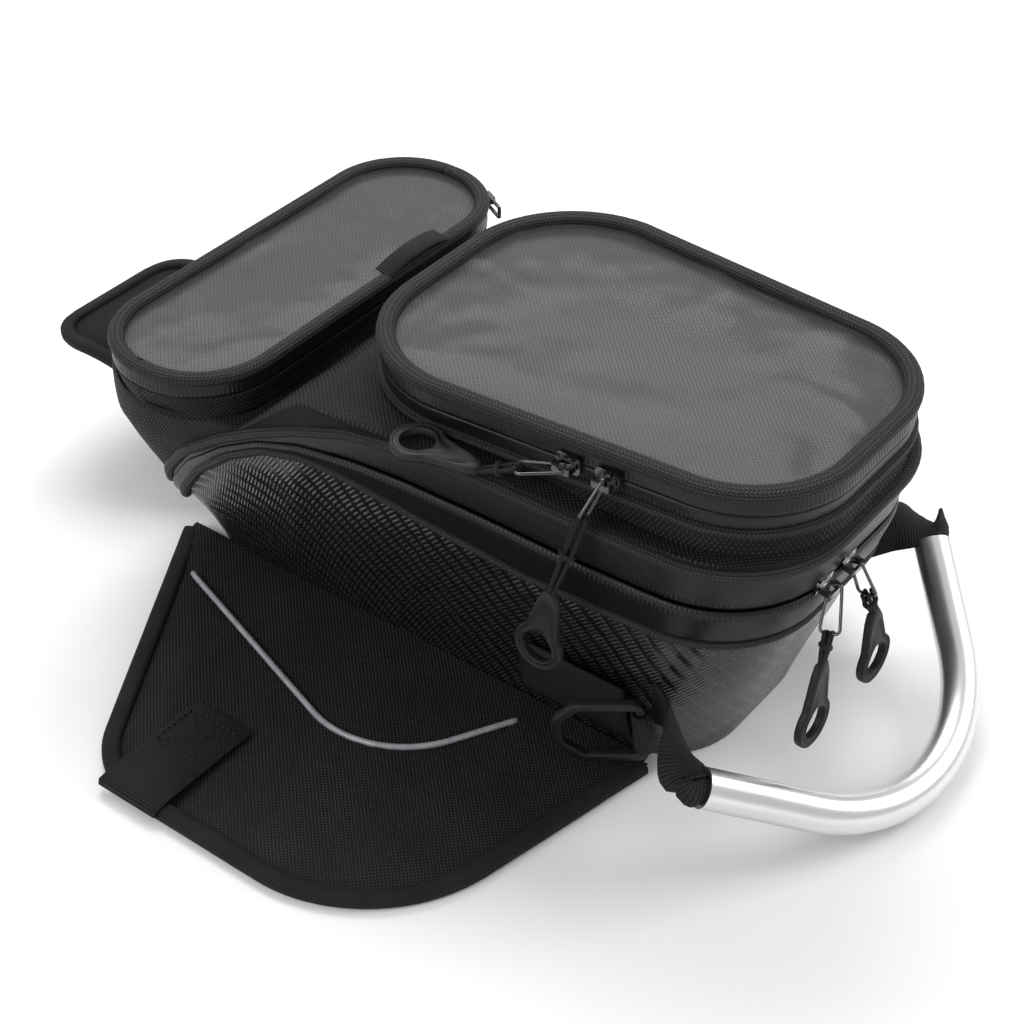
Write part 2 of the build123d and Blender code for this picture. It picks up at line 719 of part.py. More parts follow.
MAP_PULLERS = [
    # name, distance, which way the pull faces, then where the bail, the cord and the pull end
    ("map_front", 57, (0, 0, 1), (-90, 75, 160.5), (-94, 90, 154.6), (-95, 136, 154.2)),
    ("map_rear", 38, (-1, 0, 0), (-88.5, 41, 151), (-99, 50, 113), (-99.5, 59, 63)),
]
for name, distance, facing, bail_end, cord_end, pull_end in MAP_PULLERS:
    foot = Vector(-map_side(distance), at(distance), MAP_SPLIT)
    zip_slider(Plane(foot, x_dir=(0, -1, 0), z_dir=(-1, 0, 0)), name)
    bridge = foot + Vector(-BRIDGE_HEIGHT, 0, 0)
    ends = [Vector(x, at(forward), height) for x, forward, height in (bail_end, cord_end, pull_end)]
    puller(bridge, *ends, Vector(*facing), name, around_roof=name == "map_rear")

# the front pocket's slider stands on its round right end
END_CENTRE = Vector(
    FRONT_LENGTH / 2 - FRONT_RADIUS,
    at(FRONT_CENTRE - FRONT_DEPTH / 2 + FRONT_RADIUS),
    FRONT_SPLIT,
)
END_ANGLE = radians(-28)
END_BAIL_LENGTH = 16.0
end_out = Vector(cos(END_ANGLE), sin(END_ANGLE), 0)
end_along = Vector(-sin(END_ANGLE), cos(END_ANGLE), 0)
end_place = Plane(END_CENTRE + end_out * FRONT_RADIUS, x_dir=end_along, z_dir=end_out)
zip_slider(end_place, "front_pocket")
end_bridge = end_place.origin + end_out * BRIDGE_HEIGHT
end_bail = Plane(end_bridge, x_dir=end_along * -1, z_dir=Vector(0, 0, 1).cross(end_along))
wire_bail(end_bail, END_BAIL_LENGTH, "front_pocket")
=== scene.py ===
"""The look of a magnetic motorcycle tank bag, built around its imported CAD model.

Shapes are worked out in millimetres, with y measured forward from the rear edge of the base, and are
turned into metres in the model's own frame when their mesh is made.
"""

from math import atan2, cos, pi, radians, sin

import bpy
import numpy as np
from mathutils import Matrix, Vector, noise


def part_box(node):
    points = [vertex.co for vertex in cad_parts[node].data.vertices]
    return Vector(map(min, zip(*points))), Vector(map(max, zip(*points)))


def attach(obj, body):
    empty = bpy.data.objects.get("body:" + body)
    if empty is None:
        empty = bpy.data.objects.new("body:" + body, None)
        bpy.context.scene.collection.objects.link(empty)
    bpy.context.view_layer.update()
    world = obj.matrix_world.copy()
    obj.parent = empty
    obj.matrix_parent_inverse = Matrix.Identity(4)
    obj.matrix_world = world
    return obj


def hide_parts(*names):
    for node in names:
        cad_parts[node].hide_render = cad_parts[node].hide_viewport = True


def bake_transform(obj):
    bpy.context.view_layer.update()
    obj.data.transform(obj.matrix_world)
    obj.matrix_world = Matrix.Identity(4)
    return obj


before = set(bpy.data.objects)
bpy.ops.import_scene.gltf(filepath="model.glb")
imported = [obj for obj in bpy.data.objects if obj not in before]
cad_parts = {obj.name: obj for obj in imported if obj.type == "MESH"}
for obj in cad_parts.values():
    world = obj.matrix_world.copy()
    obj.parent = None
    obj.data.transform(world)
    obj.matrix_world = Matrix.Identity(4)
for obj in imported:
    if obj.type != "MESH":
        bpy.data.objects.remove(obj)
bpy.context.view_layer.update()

MM = 0.001
BASE_REAR = 2.0  # the base panel's rear edge, in the lengthwise measure used here
REAR_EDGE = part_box("base_panel")[0].y / MM - BASE_REAR

# plan sections of the bag: height, rear and front half width, rear, front, rear and front radius
SECTIONS = np.array([
    (0, 61, 62, 2, 302, 42, 38),
    (50, 67, 84, -16, 322, 46, 44),
    (95, 72, 103, -31, 330, 50, 48),
    (152, 80, 112, -45, 322, 54, 50),
], float)
TOP_LINE = np.array([(-60, 139.6), (20, 140.5), (60, 144.5), (100, 149), (140, 150.5), (186, 150.5),
                     (225, 119), (355, 119)])
HINGE_HEIGHT = 38.0


def band(*points):
    """A line of the main zipper on the bag's side, that ends low on its front."""
    return np.array([*points, (292, HINGE_HEIGHT), (355, HINGE_HEIGHT)])


BAND_LOWER = band(
    (-60, 91), (20, 92), (76, 96), (102, 102), (129, 108), (156, 115), (175, 119), (190, 119.5),
    (211, 115), (232, 103), (259, 80), (280, 54), (289, 41),
)
BAND_MIDDLE = band(
    (-60, 112), (20, 113.5), (57, 117), (96, 123), (135, 127.5), (160, 128), (190, 125), (212, 118),
    (235, 105), (261, 84), (281, 60), (290, 45),
)
BAND_UPPER = band(
    (-60, 133), (20, 134.5), (57, 138), (96, 143), (130, 144.5), (161, 141.5), (190, 131.5),
    (213, 120.5), (237, 107), (262, 88), (282, 65), (291, 49),
)

MAP = (70.5, 80.0, -41.0, 184.0, 51.0, 56.0)  # half widths, rear, front and radii of the map pocket
MAP_LOW, MAP_SPLIT, MAP_RIM, MAP_TOP = 155.0, 163.0, 169.5, 175.0
FRONT_MIDDLE = 269.5
FRONT = (112.5, 112.5, FRONT_MIDDLE - 41, FRONT_MIDDLE + 41, 39.0, 39.0)
FRONT_FLOOR, FRONT_SPLIT, FRONT_RIM, FRONT_TOP = 119.0, 131.5, 138.3, 143.0

WING_ROOT, WING_TIP = 67.5, 221.5
WING_HEM = 62.6  # the wing's cloth is sewn to the base here
WING_TAB = 189.5  # the middle of its webbing tab, forward
FLAP_ROOT, FLAP_ROOT_HEIGHT, FLAP_LENGTH = 312.0, 5.0, 130.0
FLAP_ANGLES = (radians(70), radians(-12))
FLAP_THICKNESS = 6.0
FLAP_HALVES = (36.0, 52.0)
FLAP_BACK = 302.0  # where its first half width is measured
FLAP_CORNER = 26.0

TUBE_MOUTH = (100.0, -30.0, 47.3)
TUBE_INWARD = Vector((-0.656, -0.634, -0.410))  # from the right mouth into the tube
SIDE_FOOT, SIDE_LEAN = 64.2, atan2(9, 50)


# ---- mesh making ----
def unit(vectors):
    """A vector brought to length 1, or each row of several."""
    if vectors.ndim == 1:
        return vectors / np.linalg.norm(vectors)
    return vectors / np.linalg.norm(vectors, axis=1)[:, None]


def square_to(vectors, run):
    """The part of vectors at right angles to unit directions, brought to length 1."""
    along = vectors @ run if vectors.ndim == 1 else (vectors * run).sum(1)[:, None]
    return unit(vectors - run * along)


def running(steps):
    """Distances reached after each of some steps, from 0."""
    return np.concatenate([[0], np.cumsum(steps)])


def around(points):
    """For each point of a closed line, the way from the point before it to the one after."""
    return np.roll(points, -1, 0) - np.roll(points, 1, 0)


def add_object(name, data):
    thing = bpy.data.objects.new(name, data)
    bpy.context.scene.collection.objects.link(thing)
    return thing


def thicken(piece, thickness, offset):
    solid = piece.modifiers.new("thickness", "SOLIDIFY")
    solid.thickness = thickness * MM
    solid.offset = offset


def make_piece(name, points, faces, uvs, materials, face_materials=None):
    """A mesh object from points in mm, faces, and one (u, v) in mm for each corner of each face."""
    points = np.array(points, float) + (0, REAR_EDGE, 0)
    mesh = bpy.data.meshes.new(name)
    mesh.from_pydata((points * MM).tolist(), [], faces)
    layer = mesh.uv_layers.new(name="cloth")
    layer.data.foreach_set("uv", (np.concatenate(uvs) * MM).ravel())
    for material in materials:
        mesh.materials.append(material)
    if face_materials is not None:
        mesh.polygons.foreach_set("material_index", face_materials)
    mesh.polygons.foreach_set("use_smooth", [True] * len(mesh.polygons))
    mesh.validate()
    return add_object(name, mesh)


def grid_piece(name, rows, material, closed=False, flat_map=False, thickness=0.0, cap=False, pick=None):
    """A piece from a grid of points: rows[k][i]. closed joins the last column to the first.

    The cloth coordinates are lengths along and across the grid, or x and y with flat_map. pick gives the
    material's index from a face's middle point. cap closes the last row with a fan.
    """
    rows = np.array(rows, float)
    count_v, count_u = rows.shape[:2]
    along = np.linalg.norm(np.diff(rows[:, list(range(count_u)) + [0]], axis=1), axis=2).mean(0)
    u_at, v_at = running(along), running(np.linalg.norm(np.diff(rows, axis=0), axis=2).mean(1))
    points = rows.reshape(-1, 3)
    faces, uvs = [], []
    last = count_u if closed else count_u - 1
    for k in range(count_v - 1):
        for i in range(last):
            j = (i + 1) % count_u
            face = (k * count_u + i, k * count_u + j, (k + 1) * count_u + j, (k + 1) * count_u + i)
            faces.append(face)
            if flat_map:
                uvs.append(points[list(face)][:, :2])
            else:
                uvs.append(np.array([(u_at[i], v_at[k]), (u_at[i + 1], v_at[k]),
                                     (u_at[i + 1], v_at[k + 1]), (u_at[i], v_at[k + 1])]))
    if cap:
        centre = rows[-1].mean(0)
        points = np.vstack([points, centre])
        start = (count_v - 1) * count_u
        for i in range(last):
            face = (start + i, start + (i + 1) % count_u, len(points) - 1)
            faces.append(face)
            uvs.append(points[list(face)][:, :2])
    materials = material if isinstance(material, (list, tuple)) else [material]
    picks = pick and [pick(points[list(face)].mean(0)) for face in faces]
    piece = make_piece(name, points, faces, uvs, materials, picks)
    if thickness:
        thicken(piece, thickness, -1)
    return piece


def frames(path, closed, up):
    """A path with the unit directions across and above it."""
    path = np.array(path, float)
    run = unit(around(path) if closed else np.gradient(path, axis=0))
    across = unit(np.cross(run, np.broadcast_to(np.array(up, float), path.shape)))
    return path, across, np.cross(across, run)


def tube_piece(
    name, path, half_width, half_height, material, closed=False, up=(0, 0, 1), power=2.0, sides=16
):
    """A closed tube along a path; power 2 is an ellipse and more is squarer."""
    path, across, above = frames(path, closed, up)
    rows = []
    for turn in np.linspace(0, 2 * pi, sides, endpoint=False):
        wide = np.sign(cos(turn)) * abs(cos(turn)) ** (2 / power)
        high = np.sign(sin(turn)) * abs(sin(turn)) ** (2 / power)
        rows.append(path + across * half_width * wide + above * half_height * high)
    rows = np.array(rows)
    count, length = rows.shape[:2]
    points = rows.reshape(-1, 3)
    u_at = running(np.linalg.norm(np.diff(np.vstack([path, path[:1]]), axis=0), axis=1))
    girth = pi * (half_width + half_height)
    faces, uvs = [], []
    last = length if closed else length - 1
    for k in range(count):
        above_row = (k + 1) % count
        v0, v1 = girth * k / count, girth * (k + 1) / count
        for i in range(last):
            j = (i + 1) % length
            faces.append((k * length + i, above_row * length + i, above_row * length + j, k * length + j))
            uvs.append(np.array([(u_at[i], v0), (u_at[i], v1), (u_at[i + 1], v1), (u_at[i + 1], v0)]))
    if not closed:
        for end in (0, length - 1):
            face = [k * length + end for k in range(count)]
            faces.append(tuple(face if end else face[::-1]))
            uvs.append(points[face][:, :2] * 0.2)
    return make_piece(name, points, faces, uvs, [material])


def join(name, pieces):
    """One object out of several, keeping their materials."""
    bpy.ops.object.select_all(action="DESELECT")
    for piece in pieces:
        piece.select_set(True)
    bpy.context.view_layer.objects.active = pieces[0]
    bpy.ops.object.join()
    pieces[0].name = name
    return pieces[0]


def ripple(points, size, amount, seed, stretch=(1, 1, 1)):
    """Smooth noise for each point: size is the wrinkles' length in mm."""
    offset = Vector((seed * 17.3, seed * 5.1, seed * 9.7))
    values = []
    for point in np.array(points, float).reshape(-1, 3):
        values.append(noise.noise(Vector(point * stretch / size) + offset))
    return np.array(values).reshape(np.array(points).shape[:-1]) * amount


def folds(points, size, amount, seed, stretch=(1, 1, 1)):
    """Sharp-crested wrinkles: ridges where smooth noise changes sign."""
    waves = ripple(points, size, 1.0, seed, stretch)
    return amount * np.exp(-((waves / 0.09) ** 2))


# ---- outlines ----
def corner(centre_x, centre_y, radius, start, count):
    turns = np.radians(np.linspace(start, start + 90, count))
    return np.stack([centre_x + radius * np.cos(turns), centre_y + radius * np.sin(turns)], 1)


def loop(rear_half, front_half, rear, front, rear_radius, front_radius, fine=1):
    """The closed outline of a four-sided plan with round corners, from the rear's middle to the right."""
    def stretch(a, b, count):
        return np.linspace(a, b, count, endpoint=False)

    half = np.vstack([
        stretch((0, rear), (rear_half - rear_radius, rear), 8 * fine),
        corner(rear_half - rear_radius, rear + rear_radius, rear_radius, -90, 16 * fine)[:-1],
        stretch((rear_half, rear + rear_radius), (front_half, front - front_radius), 60 * fine),
        corner(front_half - front_radius, front - front_radius, front_radius, 0, 16 * fine)[:-1],
        stretch((front_half - front_radius, front), (0, front), 10 * fine),
        [(0, front)],
    ])
    left = half[1:-1][::-1] * (-1, 1)
    return np.vstack([half, left])


def at_height(outline, height):
    return np.column_stack([outline, np.broadcast_to(height, len(outline))])


def grown(outline, distance):
    """A closed outline moved outward."""
    run = unit(around(outline))
    return outline + np.stack([run[:, 1], -run[:, 0]], 1) * distance


def evenly(outline, count):
    """The same closed outline with evenly spaced points."""
    closed = np.vstack([outline, outline[:1]])
    along = running(np.linalg.norm(np.diff(closed, axis=0), axis=1))
    stops = np.linspace(0, along[-1], count, endpoint=False)
    return np.column_stack([np.interp(stops, along, closed[:, k]) for k in (0, 1)])


def round_path(corners, radii, step=3.0):
    """A path through corners, each rounded with its radius."""
    corners = np.array(corners, float)
    path = [corners[0]]
    for before, here, after, radius in zip(corners, corners[1:], corners[2:], radii):
        a, b = unit(before - here), unit(after - here)
        half_turn = np.arccos(np.clip(a @ b, -1, 1)) / 2
        reach = radius / np.tan(half_turn)
        centre = here + unit(a + b) * radius / np.sin(half_turn)
        start, end = here + a * reach - centre, here + b * reach - centre
        whole = np.arccos(np.clip(start @ end / radius**2, -1, 1))
        count = max(3, int(whole * radius / step))
        for share in np.linspace(0, 1, count):
            weight_a, weight_b = np.sin((1 - share) * whole), np.sin(share * whole)
            path.append(centre + (start * weight_a + end * weight_b) / np.sin(whole))
    path.append(corners[-1])
    dense = [path[0]]
    for a, b in zip(path, path[1:]):
        count = max(1, int(round(np.linalg.norm(b - a) / step)))
        dense += [a + (b - a) * k / count for k in range(1, count + 1)]
    return np.array(dense)


# the body's surface, as a table of outlines one millimetre apart in height
LEVELS = np.arange(0, 153)
HULL = np.array([
    at_height(loop(*[np.interp(level, SECTIONS[:, 0], SECTIONS[:, k]) for k in range(1, 7)]), level)
    for level in LEVELS
])
AROUND = HULL.shape[1]


def hull_at(heights):
    """Points of the body's surface, one height for each place around it."""
    low = np.clip(heights.astype(int), 0, len(LEVELS) - 2)
    share = (heights - low)[:, None]
    places = np.arange(AROUND)
    return HULL[low, places] * (1 - share) + HULL[low + 1, places] * share


def height_on(curve, points):
    """A curve's height where each point lies along the bag."""
    return np.interp(points[..., 1], curve[:, 0], curve[:, 1])


def height_of(curve):
    """The height at which the body's surface meets a curve drawn on its side, for each place around."""
    heights = (LEVELS[:, None] >= height_on(curve, HULL)).argmax(0).astype(float)
    for _ in range(4):
        heights = height_on(curve, hull_at(heights)) * 0.5 + heights * 0.5
    return heights


def outward(points):
    """Level directions out of the body, one for each place around it."""
    run = around(points)
    return unit(np.stack([run[:, 1], -run[:, 0], np.zeros(len(run))], 1))


Z_LOWER, Z_MIDDLE, Z_UPPER = (height_of(curve) for curve in (BAND_LOWER, BAND_MIDDLE, BAND_UPPER))
Z_TOP = height_of(TOP_LINE)


# ---- materials ----
class Look:
    """A material's node tree with short helpers; cloth coordinates are in metres."""

    def __init__(self, name, color, roughness, **inputs):
        self.material = bpy.data.materials.new(name)
        self.material.use_nodes = True
        self.tree = self.material.node_tree
        self.link = self.tree.links.new
        self.shader = self.tree.nodes["Principled BSDF"]
        self.shader.inputs["Base Color"].default_value = (*color, 1)
        self.shader.inputs["Roughness"].default_value = roughness
        for key, value in inputs.items():
            self.shader.inputs[key.replace("_", " ")].default_value = value
        uv = self.add("UVMap")
        uv.uv_map = "cloth"
        split = self.add("SeparateXYZ")
        self.link(uv.outputs["UV"], split.inputs[0])
        self.u, self.v = split.outputs["X"], split.outputs["Y"]

    def add(self, kind, **values):
        """A new node with the given input values."""
        node = self.tree.nodes.new("ShaderNode" + kind)
        for key, value in values.items():
            node.inputs[key].default_value = value
        return node

    def math(self, operation, a, b=0.0, c=0.0):
        node = self.add("Math")
        node.operation = operation
        for socket, value in zip(node.inputs, (a, b, c)):
            if isinstance(value, (int, float)):
                socket.default_value = value
            else:
                self.link(value, socket)
        return node.outputs[0]

    def times(self, a, b):
        return self.math("MULTIPLY", a, b)

    def wave(self, place, length, shift=0.0):
        """0 to 1 and back along a coordinate, once in each length (in metres)."""
        turned = self.math("MULTIPLY_ADD", place, 2 * pi / length, shift)
        return self.math("MULTIPLY_ADD", self.math("SINE", turned), 0.5, 0.5)

    def noise(self, size, detail=2.0):
        coordinates = self.add("TexCoord")
        node = self.add("TexNoise", Scale=1 / size, Detail=detail)
        self.link(coordinates.outputs["Object"], node.inputs["Vector"])
        return node.outputs["Fac"]

    def blend_color(self, factor, low, high):
        node = self.add("Mix")
        node.data_type = "RGBA"
        self.link(factor, node.inputs["Factor"])
        node.inputs["A"].default_value = (*low, 1)
        node.inputs["B"].default_value = (*high, 1)
        self.link(node.outputs["Result"], self.shader.inputs["Base Color"])

    def blend_roughness(self, factor, low, high):
        mixed = self.math("MULTIPLY_ADD", factor, high - low, low)
        self.link(mixed, self.shader.inputs["Roughness"])

    def bump(self, height, depth, strength=1.0):
        """Relief of a depth in metres; each call goes on top of the last."""
        node = self.add("Bump", Strength=strength, Distance=depth)
        self.link(height, node.inputs["Height"])
        before = self.shader.inputs["Normal"].links
        if before:
            self.link(before[0].from_socket, node.inputs["Normal"])
        self.link(node.outputs["Normal"], self.shader.inputs["Normal"])


def basket(look, pitch):
    """A plain weave's relief: bumps in rows, every other row half a bump along."""
    rows = look.math("FLOOR", look.math("DIVIDE", look.v, pitch))
    odd = look.times(look.math("FLOORED_MODULO", rows, 2.0), pi)
    across = look.math("SINE", look.math("MULTIPLY_ADD", look.u, 2 * pi / (pitch * 2), odd))
    within = look.math("SINE", look.times(look.v, pi / pitch))
    return look.times(look.math("MAXIMUM", across, 0.0), look.math("ABSOLUTE", within))


BLACK = (0.006, 0.006, 0.0063)
WEB_BLACK, WEB_LIGHT = (0.005, 0.005, 0.0053), (0.035, 0.035, 0.037)
RUBBER_BLACK = (0.009, 0.009, 0.0095)


def ballistic(name, dark, light, pitch=0.0011):
    """Coarse nylon whose raised threads catch the light."""
    look = Look(name, dark, 0.6, Specular_IOR_Level=0.2)
    knots = basket(look, pitch)
    patches = look.noise(0.035, 3)
    look.blend_color(look.times(knots, look.math("MULTIPLY_ADD", patches, 1.1, 0.1)), dark, light)
    look.blend_roughness(knots, 0.75, 0.42)
    look.bump(knots, 0.0007)
    look.bump(patches, 0.002, 0.5)
    return look.material


def braid(name, dark, light, pitch=0.0016):
    """Cloth-covered piping: short slanted threads in a herringbone."""
    look = Look(name, dark, 0.6, Specular_IOR_Level=0.22)
    side = look.math("FLOORED_MODULO", look.math("FLOOR", look.math("DIVIDE", look.v, pitch)), 2.0)
    slant = look.times(look.math("MULTIPLY_ADD", side, 2.0, -1.0), look.v)
    threads = look.wave(look.math("ADD", look.u, slant), pitch)
    within = look.math("ABSOLUTE", look.math("SINE", look.times(look.v, pi / pitch)))
    relief = look.times(threads, within)
    look.blend_color(relief, dark, light)
    look.blend_roughness(relief, 0.7, 0.42)
    look.bump(relief, 0.0005)
    return look.material


def ribbed(name, dark, light, pitch, along=True):
    """Webbing: fine ribs across its length, with a fine thread along it."""
    look = Look(name, dark, 0.7, Specular_IOR_Level=0.18)
    ribs = look.wave(look.u if along else look.v, pitch)
    threads = look.wave(look.v if along else look.u, pitch * 0.6)
    relief = look.math("MULTIPLY_ADD", threads, 0.3, look.times(ribs, 0.7))
    look.blend_color(look.times(ribs, look.noise(0.02)), dark, light)
    look.bump(relief, 0.0004)
    return look.material


def coated_tape(name):
    """Satin coated zipper tape; the teeth below show as fine ticks beside its middle line."""
    look = Look(name, BLACK, 0.4, Specular_IOR_Level=0.28)
    grain = look.noise(0.004, 3)
    look.blend_roughness(grain, 0.3, 0.42)
    look.bump(grain, 0.0004, 0.35)
    beside = look.math("LESS_THAN", look.math("ABSOLUTE", look.v), 0.0042)
    ticks = look.times(look.wave(look.u, 0.0021), beside)
    look.bump(ticks, 0.00022, 0.6)
    return look.material


def carbon_vinyl():
    """Glossy vinyl embossed with a twill of short slanted ridges."""
    look = Look("carbon_vinyl", (0.008, 0.008, 0.0085), 0.22, Specular_IOR_Level=0.45, Coat_Weight=0.25,
                Coat_Roughness=0.15)
    bands = look.wave(look.math("ADD", look.u, look.v), 0.0098)
    dash = look.wave(look.math("SUBTRACT", look.u, look.times(look.v, 0.9)), 0.0027)
    broad = look.math("SMOOTH_MIN", look.times(bands, 1.9), 1.0, 0.3)
    relief = look.times(broad, dash)
    look.blend_color(relief, (0.003, 0.003, 0.0033), (0.03, 0.03, 0.031))
    look.blend_roughness(relief, 0.34, 0.15)
    look.bump(relief, 0.0005, 0.9)
    look.bump(look.noise(0.03, 3), 0.004, 0.5)
    return look.material


def clear_vinyl():
    """Soft clear vinyl: a see-through sheet under a glossy skin."""
    look = Look("clear_vinyl", (0.2, 0.2, 0.205), 0.2, Specular_IOR_Level=0.6, IOR=1.5)
    look.bump(look.noise(0.05, 1), 0.002, 0.25)
    shine = look.add("LayerWeight", Blend=0.25)
    clear = look.add("BsdfTransparent", Color=(0.86, 0.87, 0.88, 1))
    mix = look.add("MixShader")
    solid = look.math("MULTIPLY_ADD", shine.outputs["Fresnel"], 0.6, 0.1)
    look.link(solid, mix.inputs["Fac"])
    look.link(clear.outputs["BSDF"], mix.inputs[1])
    look.link(look.shader.outputs["BSDF"], mix.inputs[2])
    look.link(mix.outputs["Shader"], look.tree.nodes["Material Output"].inputs["Surface"])
    return look.material


def liner_cloth():
    """Grey pocket lining with a fine diamond weave."""
    look = Look("liner_cloth", (0.1, 0.1, 0.1), 0.6)
    pitch = 0.0024
    one = look.wave(look.math("ADD", look.u, look.v), pitch)
    other = look.wave(look.math("SUBTRACT", look.u, look.v), pitch)
    relief = look.times(one, other)
    look.blend_color(relief, (0.06, 0.06, 0.061), (0.17, 0.17, 0.172))
    look.bump(relief, 0.0003)
    look.bump(look.noise(0.04, 2), 0.003, 0.4)
    return look.material


def moulded(name, color, roughness, grain=0.00008, **inputs):
    """Moulded rubber or plastic, or coated metal, with a fine grain and slight wear."""
    look = Look(name, color, roughness, **inputs)
    look.blend_roughness(look.noise(0.01, 4), roughness * 0.8, min(1.0, roughness * 1.25))
    look.bump(look.noise(0.0008, 2), grain, 0.5)
    return look.material


def satin_tube():
    """Satin anodised aluminium with faint drawing marks."""
    look = Look("satin_aluminium", (0.78, 0.79, 0.8), 0.3, Metallic=1.0)
    look.blend_roughness(look.noise(0.02, 4), 0.24, 0.34)
    look.bump(look.noise(0.0006, 2), 0.00003, 0.3)
    return look.material


def reflective_cord():
    look = Look("reflective_cord", (0.3, 0.31, 0.33), 0.3, Specular_IOR_Level=0.6, Coat_Weight=0.6)
    glints = look.noise(0.006, 3)
    look.blend_color(glints, (0.16, 0.165, 0.18), (0.42, 0.43, 0.45))
    look.bump(glints, 0.0006, 0.5)
    return look.material


BODY_CLOTH = ballistic("body_cloth", BLACK, (0.06, 0.06, 0.062), 0.0012)
WING_CLOTH = ballistic("wing_cloth", (0.007, 0.007, 0.0078), (0.085, 0.085, 0.092), 0.0011)
FLAP_CLOTH = ballistic("flap_cloth", BLACK, (0.02, 0.02, 0.021), 0.0007)
PIPE_CLOTH = braid("piping_cloth", BLACK, (0.05, 0.05, 0.052), 0.0017)
EDGE_TAPE = ribbed("edge_tape", BLACK, WEB_LIGHT, 0.0011)
WEB = ribbed("webbing", WEB_BLACK, WEB_LIGHT, 0.0015)
SIDE_WEB = ribbed("side_webbing", WEB_BLACK, WEB_LIGHT, 0.0016, along=False)
TAPE = coated_tape("zip_tape")
MAP_TAPE = coated_tape("map_zip_tape")
CARBON = carbon_vinyl()
CLEAR = clear_vinyl()
LINER = liner_cloth()
RUBBER = moulded("rubber", RUBBER_BLACK, 0.5, Specular_IOR_Level=0.3)
PLASTIC = moulded("ring_plastic", RUBBER_BLACK, 0.45, Specular_IOR_Level=0.3)
BLACK_METAL = moulded("black_metal", (0.006, 0.006, 0.0065), 0.22, Specular_IOR_Level=0.7, Coat_Weight=0.7)
BOARD = moulded("board_plastic", (0.01, 0.01, 0.01), 0.6)
TUBE_METAL = satin_tube()
CORD = braid("pull_cord", WEB_BLACK, (0.04, 0.04, 0.042), 0.0011)
REFLECTIVE = reflective_cord()


def place(piece, body, slot, *nodes):
    """Ride a piece on its body and let it stand for CAD nodes; slot is not used."""
    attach(piece, body)
    if nodes:
        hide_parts(*nodes)
    return piece


def recolor(node, material):
    """Give a CAD node its finished material."""
    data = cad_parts[node].data
    data.materials.clear()
    data.materials.append(material)


# ---- camera, light and floor ----
def add_camera():
    data = bpy.data.cameras.new("camera")
    data.sensor_width = 36.0
    data.lens = 74.68
    camera = add_object("camera", data)
    camera.location = (-0.6401, (REAR_EDGE - 339.2) * MM, 0.6868)
    camera.rotation_euler = (radians(90 - 38.59), 0, radians(-52.87))
    bpy.context.scene.camera = camera


def area_light(name, location, target, size, power):
    data = bpy.data.lights.new(name, "AREA")
    data.shape = "RECTANGLE"
    data.size, data.size_y = size
    data.energy = power
    light = add_object(name, data)
    light.location = location
    light.rotation_euler = (Vector(target) - Vector(location)).to_track_quat("-Z", "Y").to_euler()


def add_studio():
    bpy.ops.mesh.primitive_plane_add(size=14)
    floor = bpy.context.object
    floor.name = "studio_floor"
    paper = bpy.data.materials.new("studio_paper")
    paper.use_nodes = True
    surface = paper.node_tree.nodes["Principled BSDF"].inputs
    surface["Base Color"].default_value = (0.9, 0.9, 0.9, 1)
    surface["Roughness"].default_value = 0.9
    floor.data.materials.append(paper)
    world = bpy.data.worlds.new("studio_air")
    world.use_nodes = True
    air = world.node_tree.nodes["Background"].inputs
    air["Color"].default_value = (1, 1, 1, 1)
    air["Strength"].default_value = 0.6
    bpy.context.scene.world = world
    area_light("key", (0.9, 0.8, 1.5), (0, 0, 0.1), (1.3, 0.9), 26)
    area_light("rear_right", (0.9, -0.9, 0.9), (0, 0, 0.1), (0.8, 0.8), 9)
    area_light("left", (-1.3, 0.3, 0.9), (0, 0, 0.05), (0.9, 0.5), 8)
    bpy.context.scene.view_settings.view_transform = "Standard"


add_camera()
add_studio()


# ---- the body and its lid ----
def strip(low, high, count, bulge):
    """Rows of the body's surface between two height lines, bulged between them."""
    rows = []
    for share in np.linspace(0, 1, count):
        points = hull_at(low + (high - low) * share)
        rows.append(points + outward(points) * (bulge * sin(pi * share)))
    return np.array(rows)


def open_strip(rows, wanted):
    """The part of closed rows whose columns are wanted, as one open run that starts at the front right."""
    order = np.roll(np.arange(AROUND), -(AROUND // 2))
    order = order[wanted[order]]
    return rows[:, order]


def wrinkled(rows, size, amount, seed, stretch=(1, 1, 1), crests=0.0, calm=None):
    out = np.array([outward(row) for row in rows])
    push = ripple(rows, size, amount, seed, stretch)
    if crests:
        push = push + folds(rows, size * 1.6, crests, seed + 3, stretch)
    if calm is not None:
        push = push * calm[:, None]
    return rows + out * push[:, :, None]


def edge_calm(count, share=0.12):
    """1 in the middle rows and 0 at the first and last, where a seam holds the cloth."""
    steps = np.linspace(0, 1, count)
    return np.clip(np.minimum(steps, 1 - steps) / share, 0, 1)


FLOOR_LINE = np.full(AROUND, 0.4)
lower_rows = strip(FLOOR_LINE, Z_LOWER - 0.5, 40, -1.0)
lower_rows = wrinkled(lower_rows, 42, 2.6, 1, (1, 1, 0.6), crests=0.9, calm=edge_calm(40))
FRONT_CLOTH = 283.0  # the front of the bag is cloth from here
lower = grid_piece(
    "lower_shell_skin", lower_rows, [CARBON, BODY_CLOTH], closed=True, thickness=2.2,
    pick=lambda middle: int(middle[1] > FRONT_CLOTH),
)
place(lower, "bag", "shell_fabric", "lower_shell")

